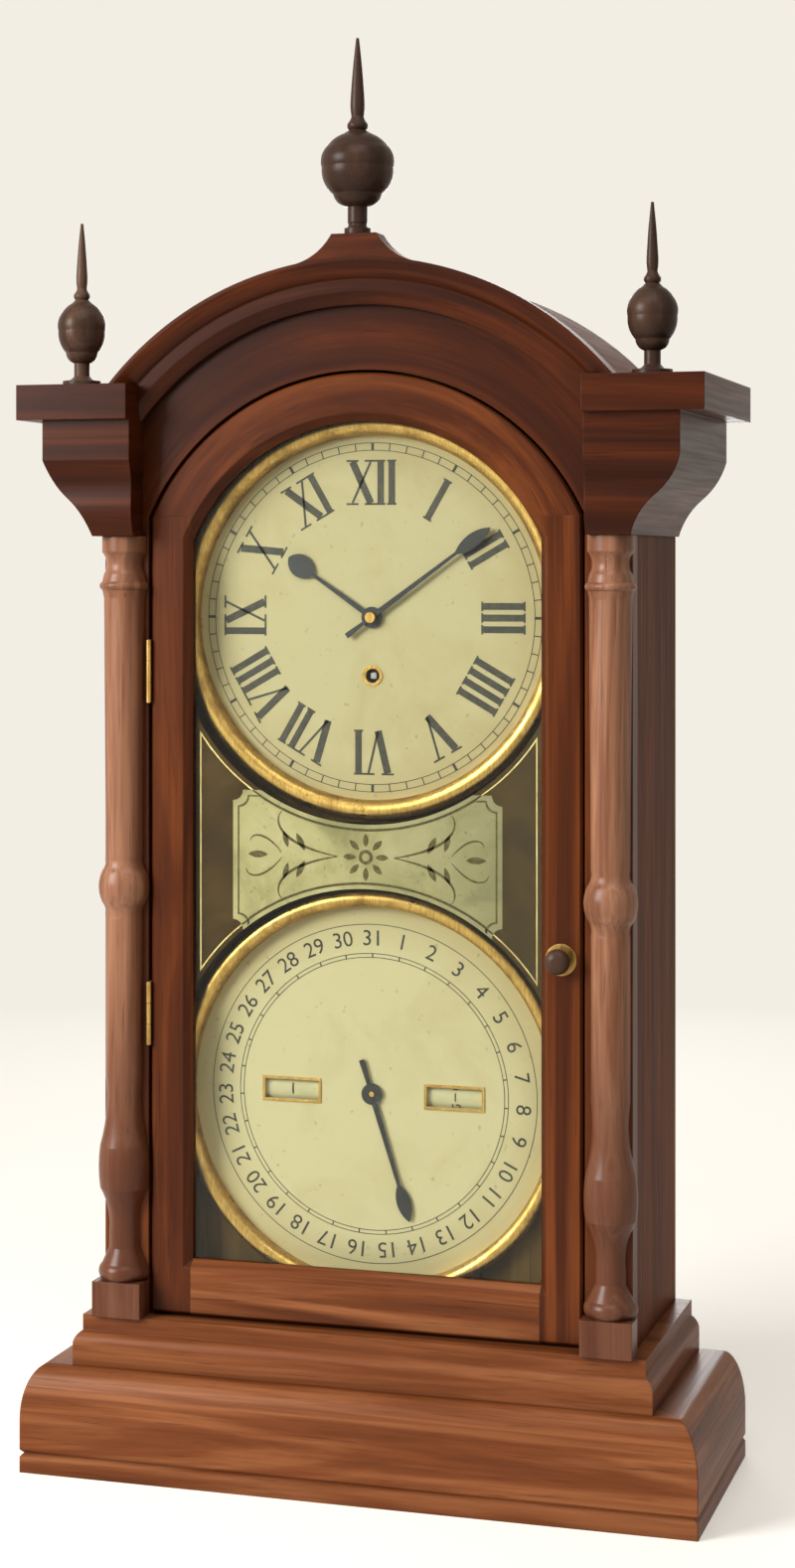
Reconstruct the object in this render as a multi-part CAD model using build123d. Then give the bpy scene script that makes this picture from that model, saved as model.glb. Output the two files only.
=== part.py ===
from build123d import *
import math
import os

# Arched double-dial shelf clock. Millimetres, +X right, -Y towards the viewer, +Z up.
# The origin is the middle of the footprint, on the surface that the clock stands on.

# Depth
overall_depth = 148.0
face_setback = 28.0
cornice_setback = 2.0

# Base
base_ledge = 27.0
base_height = 60.0
base_wall = 40.0
base_nose_depth = 13.0
base_nose_height = 30.0
base_groove = 2.0
base_groove_height = 9.0
floor_thickness = 12.0
back_rail_thickness = 12.0
step_overhang = 14.0
step_height = 28.0
step_projection = 15.0
step_cove = 9.0
step_lip = 9.0

# Case
side_thickness = 12.0
front_thickness = 12.0
back_thickness = 6.0
front_stile_width = 26.5
arch_spring = 36.0
arch_drop = 38.0
roof_thickness = 9.0
arch_crown_width = 11.5
arch_crown_lift = 2.0
arch_crown_depth = 15.0
arch_bed_width = 14.0
arch_bed_depth = 8.0
crest_half_width = 34.0
crest_top_half_width = 13.0
crest_height = 13.0

# Cornice blocks over the columns
cornice_height = 86.0
cornice_overhang = 44.0
cornice_slab = 20.0
cornice_fascia = 23.0
cornice_fascia_step = 14.0
cornice_front_step = 5.0
cornice_foot_front = 15.0
cornice_foot_overhang = 2.0
cornice_inner_gap = 3.5

# Split columns
column_radius = 12.0
column_plinth_height = 20.0
column_plinth_half_width = 14.5
column_plinth_depth = 14.0
column_ring_radius = 13.0
column_ring_bow = 2.0
column_vase_radius = 14.2
column_vase_bow = 0.8
column_cove = 2.0
column_neck_radius = 9.0
column_vase_height = 96.0
column_vase_swell = 24.0
column_vase_taper = 40.0
column_mid_height = 244.0
column_ring_height = 9.0
column_taper = 1.0
column_cap_height = 26.0
column_cap_bow = 1.5

# Finials. Each urn row holds shares of the widest radius, of the height, and of that radius for the bow.
# The spire rows hold the same shares of the neck radius.
finial_tip_radius = 0.8
finial_tip_bow = 0.05
finial_foot_share = 0.03
finial_cove_share = 0.06
finial_neck_share = 0.14
finial_cove_bow = -0.22
urn_rows = ((0.68, 0.205, 0.09), (1.0, 0.34, 0.10), (0.84, 0.45, 0.09), (0.42, 0.51, 0.04))
spire_rows = ((0.85, 0.53, 0.0), (1.0, 0.565, 0.12), (0.62, 0.60, -0.05), (0.72, 0.68, 0.05))
centre_finial_height = 109.0
centre_finial_radius = 20.0
centre_neck_radius = 5.5
centre_foot_radius = 7.4
side_finial_height = 93.0
side_finial_radius = 13.5
side_neck_radius = 4.5
side_foot_radius = 11.0
side_finial_inset = 32.0
side_finial_setback = 20.0

# Door
glass_half_width = 102.0
door_gap = 1.5
door_stile_width = 24.0
door_arch_shoulder = 13.0
door_arch_rail_width = 27.0
door_arch_drop = 10.0
door_bottom_rail = 31.0
door_sight_bevel = 4.5
door_edge_bevel = 1.5
glass_thickness = 2.0
glass_depth = 6.0
glass_lap = 5.0
bead_thickness = 3.0
bead_width = 4.0
glass_clearance = 0.3

# Door hinges and latch. Each knob row holds shares of its radius, of its length, and of its radius for the bow.
hinge_foot_height = 172.0
hinge_top_drop = 77.0
hinge_length = 36.0
leaf_thickness = 0.6
leaf_depth = 9.0
knuckle_radius = 1.6
knuckle_standoff = 1.7
knuckle_gap = 0.3
pin_radius = 0.8
pin_fit = 0.05
latch_drop = 32.0
latch_edge = 12.0
knob_radius = 7.0
knob_length = 13.0
knob_rows = ((0.55, 0.0, 0.0), (0.45, 0.3, -0.06), (1.0, 0.6, 0.09), (0.6, 0.95, 0.14), (0.2, 1.0, 0.03))
spindle_radius = 2.5
spindle_fit = 0.08
tongue_length = 20.0
tongue_width = 9.0
tongue_thickness = 1.5
tongue_gap = 0.3

# Dials and dial boards
dial_board_setback = 22.0
dial_board_thickness = 8.0
dial_rise = 2.0
dial_gap = 40.0
time_dial_lap = 5.0
calendar_dial_lap = 8.0
calendar_rail_lap = 9.5
dial_thickness = 1.0
bezel_lap = 4.0
time_bezel_spread = 7.0
calendar_bezel_spread = 5.0
bezel_round = 4.5
bezel_door_gap = 0.5
board_margin = 2.0
board_centre_hole = 8.0
dial_centre_hole = 4.5
winding_hole_radius = 4.0
board_winding_hole = 8.0

# Hands
hand_thickness = 0.8
hand_gap = 0.6
hand_first_gap = 1.2
minute_hand_short = 17.0
minute_hand_tail = 18.0
hour_hand_short = 43.0
date_hand_short = 32.0
date_hand_tail = 20.0
hand_boss_radius = 6.0
hand_nut_radius = 3.0
hand_nut_length = 2.0
hand_stem = 1.6
hand_leaf_share = 0.3
hand_leaf_overlap = 0.3
minute_boss_radius = 4.2
hour_spade = 6.5
minute_spade = 4.0
shown_hour = 10
shown_minute = 9
shown_date = 14

# Motion work
cannon_teeth = 12
minute_wheel_teeth = 36
minute_pinion_teeth = 10
hour_wheel_teeth = 40
motion_module = 0.7
motion_wheel_thickness = 1.5
motion_gap = 1.0
cannon_radius = 1.9
hour_pipe_wall = 1.0
stud_radius = 1.5
running_fit = 0.06

# Movement frame
movement_gap = 8.0
plate_thickness = 1.5
plate_spacing = 24.5
plate_half_width = 44.0
plate_below = 68.0
plate_above = 62.0
pillar_radius = 3.5
pillar_neck_radius = 2.0
pillar_inset = 7.0
pillar_nut_height = 2.5

# Going train
pinion_teeth = 8
barrel_teeth = 80
centre_teeth = 80
third_teeth = 72
escape_teeth = 45
barrel_module = 0.75
centre_module = 0.6
third_module = 0.5
third_offset = 18.0
escape_radius = 17.0
escape_depth = 3.0
escape_rim = 2.2
wheel_thickness = 1.5
wheel_crossings = 5
wheel_rim = 2.6
wheel_hub = 4.0
wheel_arm = 2.6
arbor_radius = 1.0
barrel_drum_radius = 25.0
barrel_drum_length = 14.0
winding_radius = 2.5
winding_square = 3.6
ratchet_radius = 9.0
ratchet_teeth = 16
ratchet_depth = 1.6
click_radius = 2.0
click_length = 7.0
click_nose = 0.65
click_clearance = 0.35
click_stud_radius = 0.8
tooth_share = 0.30
tip_share = 0.12
escape_tip_share = 0.04
addendum = 0.9
dedendum = 1.35
end_shake = 0.2

# Pallets and pendulum
pallet_span = 10.5
pallet_clearance = 1.0
pallet_width = 2.2
pallet_hook = 3.2
anchor_hub = 4.0
anchor_thickness = 2.5
crutch_gap = 4.0
crutch_hub_radius = 3.0
crutch_length = 52.0
crutch_width = 2.4
crutch_thickness = 1.2
fork_gap = 0.3
fork_reach = 5.0
spring_width = 5.0
spring_thickness = 0.3
spring_length = 12.0
suspension_pin_radius = 0.8
pin_lift = 0.3
cock_slot = 1.8
cock_rise = 4.0
cock_height = 4.0
cock_half_width = 6.0
pendulum_length = 196.0
rod_radius = 1.3
bob_radius = 21.0
bob_thickness = 9.0
bob_edge = 2.0
rating_nut_radius = 3.0
rating_nut_height = 3.0
rating_nut_gap = 0.3
rod_tail = 32.0

# Calendar work
roller_radius = 12.0
roller_length = 34.0
roller_offset = 48.0
roller_gap = 0.6
roller_arbor = 1.2
window_half_width = 16.0
window_half_height = 5.5
roller_room = 1.5
cheek_thickness = 1.5
cheek_gap = 0.4
date_teeth = 31
date_wheel_radius = 20.0
date_wheel_depth = 2.2
date_arbor_radius = 1.5
bridge_gap = 7.0
bridge_half_length = 28.0
bridge_half_width = 6.0
bridge_foot_radius = 3.0

# Angles and counts
quarter_turn = 90
half_turn = 180
full_turn = 360
hours_on_dial = 12
minutes_on_dial = 60

# Planes in depth that follow from the sizes above
back_y = overall_depth / 2
base_y = -overall_depth / 2
face_y = base_y + face_setback
cornice_y = base_y + cornice_setback
inner_y = face_y + front_thickness
board_y = face_y + dial_board_setback
board_back_y = board_y + dial_board_thickness

# Widths and heights, worked outwards and upwards from the glass and the two dials
door_half = glass_half_width + door_stile_width
opening_half = door_half + door_gap
case_half_width = opening_half + front_stile_width
step_half_width = case_half_width + step_overhang
base_half_width = step_half_width + base_ledge
column_x = case_half_width - column_radius
step_top = base_height + step_height
door_bottom = step_top + door_gap
glass_bottom = door_bottom + door_bottom_rail
time_dial_radius = glass_half_width + time_dial_lap
calendar_dial_radius = glass_half_width + calendar_dial_lap
time_sight = time_dial_radius - bezel_lap
calendar_sight = calendar_dial_radius - bezel_lap
time_bezel_radius = time_dial_radius + time_bezel_spread
calendar_bezel_radius = calendar_dial_radius + calendar_bezel_spread
calendar_z = glass_bottom + calendar_sight - calendar_rail_lap
calendar_top = calendar_z + calendar_bezel_radius
dial_z = calendar_top + dial_gap + time_bezel_radius
lower_board_top = calendar_top + board_margin
upper_board_bottom = calendar_top + dial_gap - board_margin
door_arch_z = dial_z - dial_rise
arch_z = door_arch_z + door_arch_drop
cornice_bottom = arch_z + arch_drop
cornice_top = cornice_bottom + cornice_height
column_height = cornice_bottom - step_top
arch_radius = case_half_width + arch_spring
side_top = arch_z + math.sqrt(arch_radius ** 2 - case_half_width ** 2)
crown_radius = arch_radius + arch_crown_lift
arch_top = arch_z + crown_radius
finial_z = arch_top + crest_height
door_arch_radius = door_half + door_arch_shoulder
glass_radius = door_arch_radius - door_arch_rail_width
hinge_levels = (step_top + hinge_foot_height, cornice_bottom - hinge_top_drop)

# Planes of the dials and the movement
crest_y = face_y - arch_crown_depth / 2
dial_front = board_y - dial_thickness
plate_front = board_back_y + movement_gap
train_front = plate_front + plate_thickness
train_back = train_front + plate_spacing
plate_back = train_back + plate_thickness


def slab(x0, x1, y0, y1, z0, z1):
    return Pos((x0 + x1) / 2, (y0 + y1) / 2, (z0 + z1) / 2) * Box(x1 - x0, y1 - y0, z1 - z0)


def across(face, y0, y1):
    # A face drawn in the front view, thickened from y0 back to y1
    return extrude(Pos(0, y1, 0) * (Plane.XZ * face), y1 - y0, dir=(0, -1, 0))


def along_x(face, x0, x1):
    # A face drawn in the side view as (depth, height), run from x0 to x1
    return extrude(Pos(x0, 0, 0) * (Plane.YZ * face), x1 - x0, dir=(1, 0, 0))


def outline(*edges):
    return make_face(Wire(list(edges)))


def rod(radius, y0, y1, x=0.0, z=0.0):
    return Pos(x, (y0 + y1) / 2, z) * Rot(quarter_turn, 0, 0) * Cylinder(radius, y1 - y0)


def turned(rows):
    # Rows of (radius, height, swell): swell bows the stretch that ends at this row outwards
    points = [(radius, height) for radius, height, swell in rows]
    edges = [Line((0, points[0][1]), points[0])]
    for start, end, row in zip(points, points[1:], rows[1:]):
        if row[2] == 0:
            edges.append(Line(start, end))
        else:
            middle = Vector((start[0] + end[0]) / 2, (start[1] + end[1]) / 2)
            run = Vector(end[0] - start[0], end[1] - start[1])
            side = Vector(run.Y, -run.X).normalized() * row[2]
            edges.append(ThreePointArc(start, (middle.X + side.X, middle.Y + side.Y), end))
    edges.append(Line(points[-1], (0, points[-1][1])))
    edges.append(Line((0, points[-1][1]), (0, points[0][1])))
    return revolve(Plane.XZ * outline(*edges), Axis.Z, full_turn)


def mirrored(shape):
    return mirror(shape, Plane.YZ)


def arched_face(half, radius, centre_z, bottom):
    # Upright sides up to an arc about (0, centre_z)
    spring = centre_z + math.sqrt(radius ** 2 - half ** 2)
    return outline(
        Line((-half, bottom), (half, bottom)),
        Line((half, bottom), (half, spring)),
        ThreePointArc((half, spring), (0, centre_z + radius), (-half, spring)),
        Line((-half, spring), (-half, bottom)),
    )


# Base
def base_profile(front):
    # Bull-nosed moulding with a groove above its foot; depth runs back from the front
    wall = front + base_wall
    nose_z = base_height - base_nose_height
    return outline(
        Line((wall, 0), (front, 0)),
        Line((front, 0), (front, base_groove_height)),
        Line((front, base_groove_height), (front + base_groove, base_groove_height + base_groove)),
        Line((front + base_groove, base_groove_height + base_groove),
             (front, base_groove_height + 2 * base_groove)),
        Line((front, base_groove_height + 2 * base_groove), (front, nose_z)),
        EllipticalCenterArc((front + base_nose_depth, nose_z), base_nose_depth, base_nose_height,
                            quarter_turn, arc_size=quarter_turn),
        Line((front + base_nose_depth, base_height), (wall, base_height)),
        Line((wall, base_height), (wall, 0)),
    )


def base_front_moulding():
    run = along_x(base_profile(base_y), -base_half_width, base_half_width)
    inner = base_half_width - base_wall
    plan = Polyline((-base_half_width, base_y), (base_half_width, base_y), (inner, base_y + base_wall),
                    (-inner, base_y + base_wall), close=True)
    return run & extrude(make_face(plan), base_height)


def base_right_moulding():
    # The same section, turned to face right and mitred to the front piece
    run = along_x(base_profile(-base_half_width), base_y, back_y)
    run = Rot(0, 0, quarter_turn) * run
    inner = base_half_width - base_wall
    plan = Polyline((base_half_width, base_y), (base_half_width, back_y), (inner, back_y),
                    (inner, base_y + base_wall), close=True)
    return run & extrude(make_face(plan), base_height)


def base_board():
    inner = base_half_width - base_wall
    return slab(-inner, inner, base_y + base_wall, back_y, 0, floor_thickness)


def base_back_rail():
    inner = base_half_width - base_wall
    return slab(-inner, inner, back_y - back_rail_thickness, back_y, floor_thickness, base_height)


def step_profile(front, back):
    # Square lip over a cove that runs out to the base
    lip_z = step_top - step_lip
    cove_z = lip_z - step_cove
    return outline(
        Line((back, base_height), (front, base_height)),
        Line((front, base_height), (front, cove_z)),
        RadiusArc((front, cove_z), (front + step_cove / 2, lip_z), step_cove),
        Line((front + step_cove / 2, lip_z), (front + step_cove / 2, step_top)),
        Line((front + step_cove / 2, step_top), (back, step_top)),
        Line((back, step_top), (back, base_height)),
    )


def base_step():
    front = along_x(step_profile(face_y - step_projection, back_y), -step_half_width, step_half_width)
    side = Rot(0, 0, quarter_turn) * along_x(step_profile(-step_half_width, 0), face_y - step_projection, back_y)
    return front & (side + mirrored(side))


# Case
def right_side_board():
    return slab(case_half_width - side_thickness, case_half_width, inner_y, back_y - back_thickness,
                step_top, side_top)


def back_board():
    return across(arched_face(case_half_width, arch_radius, arch_z, step_top), back_y - back_thickness, back_y)


def front_stiles():
    right = slab(opening_half, case_half_width, face_y, inner_y, step_top, cornice_bottom)
    return [right, mirrored(right)]


def arch_fascia():
    board = across(arched_face(case_half_width, arch_radius, arch_z, cornice_bottom), face_y, inner_y)
    door_space = arched_face(opening_half, door_arch_radius + door_gap, door_arch_z, step_top)
    return board - across(door_space, face_y, inner_y)


def arch_roof():
    y0 = inner_y
    y1 = back_y - back_thickness
    ring = rod(arch_radius, y0, y1, z=arch_z) - rod(arch_radius - roof_thickness, y0, y1, z=arch_z)
    return ring & slab(-arch_radius, arch_radius, y0, y1, side_top, arch_top)


def arch_moulding():
    # Crown and bed moulding in one arched piece: a section turned about the arch's own axis
    outer = crown_radius
    quirk = outer - arch_crown_width
    inner = quirk - arch_bed_width
    crown_y = face_y - arch_crown_depth
    bed_y = face_y - arch_bed_depth
    half_bed = arch_bed_width / 2
    section = outline(
        Line((inner, face_y), (inner, bed_y + arch_bed_depth / 2)),
        RadiusArc((inner, bed_y + arch_bed_depth / 2), (inner + half_bed, bed_y), -arch_bed_width),
        Line((inner + half_bed, bed_y), (quirk, bed_y)),
        RadiusArc((quirk, bed_y), (outer - arch_crown_lift, crown_y), -arch_crown_depth),
        Line((outer - arch_crown_lift, crown_y), (outer, crown_y)),
        Line((outer, crown_y), (outer, face_y)),
        Line((outer, face_y), (inner, face_y)),
    )
    ring = Pos(0, 0, arch_z) * revolve(section, Axis.Y, full_turn)
    above = slab(-crown_radius, crown_radius, crown_y, face_y, cornice_top, arch_top)
    between = slab(-cornice_inner_x, cornice_inner_x, crown_y, face_y, arch_z, cornice_top)
    return ring & (above + between)


def crest_block():
    # Small pedestal with hollow sides on the crown of the arch
    foot_z = arch_z + math.sqrt(crown_radius ** 2 - crest_half_width ** 2)
    top_z = finial_z
    face = outline(
        ThreePointArc((-crest_half_width, foot_z), (0, arch_top), (crest_half_width, foot_z)),
        RadiusArc((crest_half_width, foot_z), (crest_top_half_width, top_z), crest_half_width),
        Line((crest_top_half_width, top_z), (-crest_top_half_width, top_z)),
        RadiusArc((-crest_top_half_width, top_z), (-crest_half_width, foot_z), crest_half_width),
    )
    return across(face, face_y - arch_crown_depth, face_y)


# Cornice
cornice_inner_x = opening_half + cornice_inner_gap


def cornice_profile(foot, shoulder, tip, far):
    # Foot, ogee, fascia and slab, as distances outwards from the case
    ogee_z = cornice_bottom + cornice_height - cornice_slab - cornice_fascia
    slab_z = cornice_top - cornice_slab
    middle = ((foot + shoulder) / 2, (cornice_bottom + ogee_z) / 2)
    bow = ogee_z - cornice_bottom
    return outline(
        Line((far, cornice_bottom), (foot, cornice_bottom)),
        RadiusArc((foot, cornice_bottom), middle, bow),
        RadiusArc(middle, (shoulder, ogee_z), -bow),
        Line((shoulder, ogee_z), (shoulder, slab_z)),
        Line((shoulder, slab_z), (tip, slab_z)),
        Line((tip, slab_z), (tip, cornice_top)),
        Line((tip, cornice_top), (far, cornice_top)),
        Line((far, cornice_top), (far, cornice_bottom)),
    )


def right_cornice():
    tip_x = case_half_width + cornice_overhang
    side = cornice_profile(case_half_width + cornice_foot_overhang, tip_x - cornice_fascia_step, tip_x,
                           cornice_inner_x)
    front = cornice_profile(face_y - cornice_foot_front, cornice_y + cornice_front_step, cornice_y, back_y)
    body = across(side, cornice_y, back_y) & along_x(front, cornice_inner_x, tip_x)
    return body - slab(cornice_inner_x, case_half_width, face_y, back_y, cornice_bottom, cornice_top)


# Columns and finials
def right_column():
    # A turning split down its length, with its square plinth, glued to the front stile
    foot = column_plinth_height
    ring = column_ring_height
    vase = column_vase_height
    mid = column_mid_height
    cap = column_height - column_cap_height
    waist = column_radius - column_taper
    rows = [
        (column_ring_radius, foot, 0),
        (column_ring_radius, foot + ring, column_ring_bow),
        (column_neck_radius, foot + 2 * ring, 0),
        (column_neck_radius, foot + 3 * ring, 0),
        (column_vase_radius, vase - column_vase_swell, -column_cove),
        (column_vase_radius, vase, column_vase_bow),
        (waist, vase + column_vase_taper, -column_cove),
        (waist, mid - 2 * ring, 0),
        (column_ring_radius, mid - ring, -column_cove / 2),
        (column_ring_radius, mid + ring, column_ring_bow),
        (waist, mid + 2 * ring, -column_cove / 2),
        (column_radius, cap - ring, 0),
        (column_ring_radius, cap - ring / 2, 0),
        (column_ring_radius, cap, column_cap_bow),
        (column_radius, cap + ring / 2, 0),
        (column_ring_radius, column_height - ring, -column_cove),
        (column_ring_radius, column_height, 0),
    ]
    room = 2 * column_vase_radius
    shaft = turned(rows) & slab(-room, room, -room, 0, 0, column_height)
    plinth = slab(-column_plinth_half_width, column_plinth_half_width, -column_plinth_depth, 0, 0, foot)
    return Pos(column_x, face_y, step_top) * (shaft + plinth)


def finial(height, radius, neck, foot):
    # Foot, neck, urn widest above its middle, and a tapering spire
    rows = [
        (foot, 0, 0),
        (foot, height * finial_foot_share, 0),
        (neck, height * finial_cove_share, neck * finial_cove_bow),
        (neck, height * finial_neck_share, 0),
    ]
    rows += [(radius * share, height * level, radius * bow) for share, level, bow in urn_rows]
    rows += [(neck * share, height * level, neck * bow) for share, level, bow in spire_rows]
    rows.append((finial_tip_radius, height, neck * finial_tip_bow))
    return turned(rows)


def centre_finial():
    return Pos(0, crest_y, finial_z) * finial(centre_finial_height, centre_finial_radius, centre_neck_radius,
                                             centre_foot_radius)


def side_finials():
    x = case_half_width + cornice_overhang - side_finial_inset
    y = cornice_y + side_finial_setback
    one = finial(side_finial_height, side_finial_radius, side_neck_radius, side_foot_radius)
    return [Pos(x, y, cornice_top) * one, Pos(-x, y, cornice_top) * one]


# Door
def door_face(grow=0.0):
    return arched_face(door_half + grow, door_arch_radius + grow, door_arch_z, door_bottom - grow)


def sight_face(grow=0.0):
    return arched_face(glass_half_width + grow, glass_radius + grow, door_arch_z, glass_bottom - grow)


def tapered(front_face, back_face, y0, y1):
    # A block that changes from one front-view face at y0 to another at y1
    return loft([Pos(0, y0, 0) * (Plane.XZ * front_face), Pos(0, y1, 0) * (Plane.XZ * back_face)], ruled=True)


def door_frame():
    # Bevelled outside and towards the glass, and rebated behind for it
    edge_y = face_y + door_edge_bevel
    frame = tapered(door_face(-door_edge_bevel), door_face(), face_y, edge_y)
    frame += across(door_face(), edge_y, inner_y)
    frame -= across(sight_face(), face_y, inner_y)
    frame -= tapered(sight_face(door_sight_bevel), sight_face(), face_y, face_y + door_sight_bevel)
    return frame - across(sight_face(glass_lap), face_y + glass_depth, inner_y)


def door_pieces():
    # Stiles run from the bottom to the spring of the arch, rails fit between and above them
    frame = door_frame()
    spring = door_arch_z + math.sqrt(door_arch_radius ** 2 - door_half ** 2)
    post = slab(glass_half_width, door_half, face_y, inner_y, door_bottom, spring)
    rail = slab(-glass_half_width, glass_half_width, face_y, inner_y, door_bottom, glass_bottom)
    right = frame & post
    left = frame & mirrored(post)
    spindle_hole = rod(spindle_radius + spindle_fit, face_y, inner_y, latch_x, latch_z)
    return {
        "door_latch_stile": right - spindle_hole,
        "door_hinge_stile": left,
        "door_bottom_rail": frame & rail,
        "door_arch_rail": frame - post - mirrored(post) - rail,
    }


def door_glass():
    y = face_y + glass_depth
    return across(sight_face(glass_lap - glass_clearance), y, y + glass_thickness)


def glass_bead():
    y = face_y + glass_depth + glass_thickness
    outer = across(sight_face(glass_lap - glass_clearance), y, y + bead_thickness)
    return outer - across(sight_face(glass_lap - glass_clearance - bead_width), y, y + bead_thickness)


hinge_x = -(door_half + opening_half) / 2
hinge_y = face_y - knuckle_standoff
latch_x = door_half - latch_edge
latch_z = calendar_top - latch_drop


def hinge_leaf(x0, x1, z, parts):
    # A plate against the wood's edge with its own share of the knuckle
    third = hinge_length / 3
    plate = slab(x0, x1, face_y, face_y + leaf_depth, z - hinge_length / 2, z + hinge_length / 2)
    for part in parts:
        low = z - hinge_length / 2 + part * third + knuckle_gap / 2
        high = low + third - knuckle_gap
        plate += Pos(hinge_x, hinge_y, (low + high) / 2) * Cylinder(knuckle_radius, high - low)
        plate += slab(x0, x1, hinge_y, face_y, low, high)
    return plate - Pos(hinge_x, hinge_y, z) * Cylinder(pin_radius + pin_fit, hinge_length)


def case_hinge_leaves():
    return [hinge_leaf(-opening_half, -opening_half + leaf_thickness, level, (0, 2)) for level in hinge_levels]


def door_hinge_leaves():
    return [hinge_leaf(-door_half - leaf_thickness, -door_half, level, (1,)) for level in hinge_levels]


def hinge_pins():
    return [Pos(hinge_x, hinge_y, level) * Cylinder(pin_radius, hinge_length) for level in hinge_levels]


def latch_knob():
    # Turned knob in front and its spindle through the stile
    tongue_back = inner_y + tongue_gap + tongue_thickness
    rows = [(knob_radius * share, knob_length * level, knob_radius * bow) for share, level, bow in knob_rows]
    head = Pos(latch_x, face_y - tongue_gap, latch_z) * Rot(quarter_turn, 0, 0) * turned(rows)
    return head + rod(spindle_radius, face_y - tongue_gap, tongue_back, latch_x, latch_z)


def latch_tongue():
    # Hangs straight down while the door is free; a quarter turn brings it behind the front stile
    y0 = inner_y + tongue_gap
    y1 = y0 + tongue_thickness
    arm = slab(latch_x - tongue_width / 2, latch_x + tongue_width / 2, y0, y1, latch_z - tongue_length, latch_z)
    eye = rod(tongue_width / 2 + spindle_radius / 2, y0, y1, latch_x, latch_z)
    return arm + eye - rod(spindle_radius, y0, y1, latch_x, latch_z)


# Dials
def upper_dial_board():
    half = case_half_width - side_thickness
    inner_arch = arch_radius - roof_thickness
    board = across(arched_face(half, inner_arch, arch_z, upper_board_bottom), board_y, board_back_y)
    board -= rod(board_centre_hole, board_y, board_back_y, z=dial_z)
    return board - rod(board_winding_hole, board_y, board_back_y, z=barrel_z)


def lower_dial_board():
    half = case_half_width - side_thickness
    board = slab(-half, half, board_y, board_back_y, step_top, lower_board_top)
    board -= rod(date_arbor_radius + running_fit, board_y, board_back_y, z=calendar_z)
    for x in (-roller_offset, roller_offset):
        room_x = roller_length / 2 + roller_room
        room_z = roller_radius + roller_room
        board -= slab(x - room_x, x + room_x, board_y, board_back_y, calendar_z - room_z, calendar_z + room_z)
    return board


def time_dial():
    plate = rod(time_dial_radius, dial_front, board_y, z=dial_z)
    plate -= rod(dial_centre_hole, dial_front, board_y, z=dial_z)
    return plate - rod(winding_hole_radius, dial_front, board_y, z=barrel_z)


def calendar_dial():
    plate = rod(calendar_dial_radius, dial_front, board_y, z=calendar_z)
    plate -= rod(dial_centre_hole, dial_front, board_y, z=calendar_z)
    for x in (-roller_offset, roller_offset):
        plate -= slab(x - window_half_width, x + window_half_width, dial_front, board_y,
                      calendar_z - window_half_height, calendar_z + window_half_height)
    return plate


def bezel(radius, outer):
    # Deep round-topped ring on the board, rebated to clamp the dial's edge, that stops just behind the door
    inner = radius - bezel_lap
    front_y = inner_y + bezel_door_gap
    shoulder_y = front_y + bezel_round
    section = outline(
        Line((inner, dial_front), (radius, dial_front)),
        Line((radius, dial_front), (radius, board_y)),
        Line((radius, board_y), (outer, board_y)),
        Line((outer, board_y), (outer, shoulder_y)),
        ThreePointArc((outer, shoulder_y), ((inner + outer) / 2, front_y), (inner, shoulder_y)),
        Line((inner, shoulder_y), (inner, dial_front)),
    )
    return revolve(section, Axis.Y, full_turn)


def time_bezel():
    return Pos(0, 0, dial_z) * bezel(time_dial_radius, time_bezel_radius)


def calendar_bezel():
    return Pos(0, 0, calendar_z) * bezel(calendar_dial_radius, calendar_bezel_radius)


# Toothed wheels
def teeth_face(count, module, phase=0.0):
    pitch = count * module / 2
    root = pitch - dedendum * module
    tip = pitch + addendum * module
    return toothed_face(count, root, tip, tooth_share, tip_share, phase)


def toothed_face(count, root, tip, root_share, top_share, phase=0.0):
    # Straight-flanked teeth; the shares say how much of each step the tooth takes at its foot and tip
    step = 2 * math.pi / count
    points = []
    for index in range(count):
        middle = math.radians(phase) + index * step
        for radius, share in ((root, -root_share), (tip, -top_share), (tip, top_share), (root, root_share)):
            angle = middle + share * step
            points.append((radius * math.cos(angle), radius * math.sin(angle)))
    return make_face(Polyline(*points, close=True))


def crossed(face, hub, rim_inner, arms):
    # Cuts the spaces between the arms of a wheel
    space = Circle(rim_inner) - Circle(hub)
    for index in range(arms):
        bar = Pos(rim_inner / 2, 0) * Rectangle(rim_inner, wheel_arm)
        space -= Rot(0, 0, full_turn * index / arms) * bar
    return face - space


def wheel(count, module, y0, phase=0.0):
    face = crossed(teeth_face(count, module, phase), wheel_hub, count * module / 2 - wheel_rim, wheel_crossings)
    return across(face, y0, y0 + wheel_thickness)


def pinion(count, module, y0, y1, phase=0.0):
    return across(teeth_face(count, module, phase), y0, y1)


# Places of the arbors in the front view, from the hands' centre
barrel_z = dial_z - (barrel_teeth + pinion_teeth) * barrel_module / 2
third_reach = (centre_teeth + pinion_teeth) * centre_module / 2
third_rise = math.sqrt(third_reach ** 2 - third_offset ** 2)
third_z = dial_z + third_rise
escape_reach = (third_teeth + pinion_teeth) * third_module / 2
escape_z = third_z + math.sqrt(escape_reach ** 2 - third_offset ** 2)
pallet_angle = pallet_span * half_turn / escape_teeth
anchor_z = escape_z + escape_radius / math.cos(math.radians(pallet_angle))
motion_reach = (cannon_teeth + minute_wheel_teeth) * motion_module / 2
hour_module = 2 * motion_reach / (minute_pinion_teeth + hour_wheel_teeth)

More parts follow.
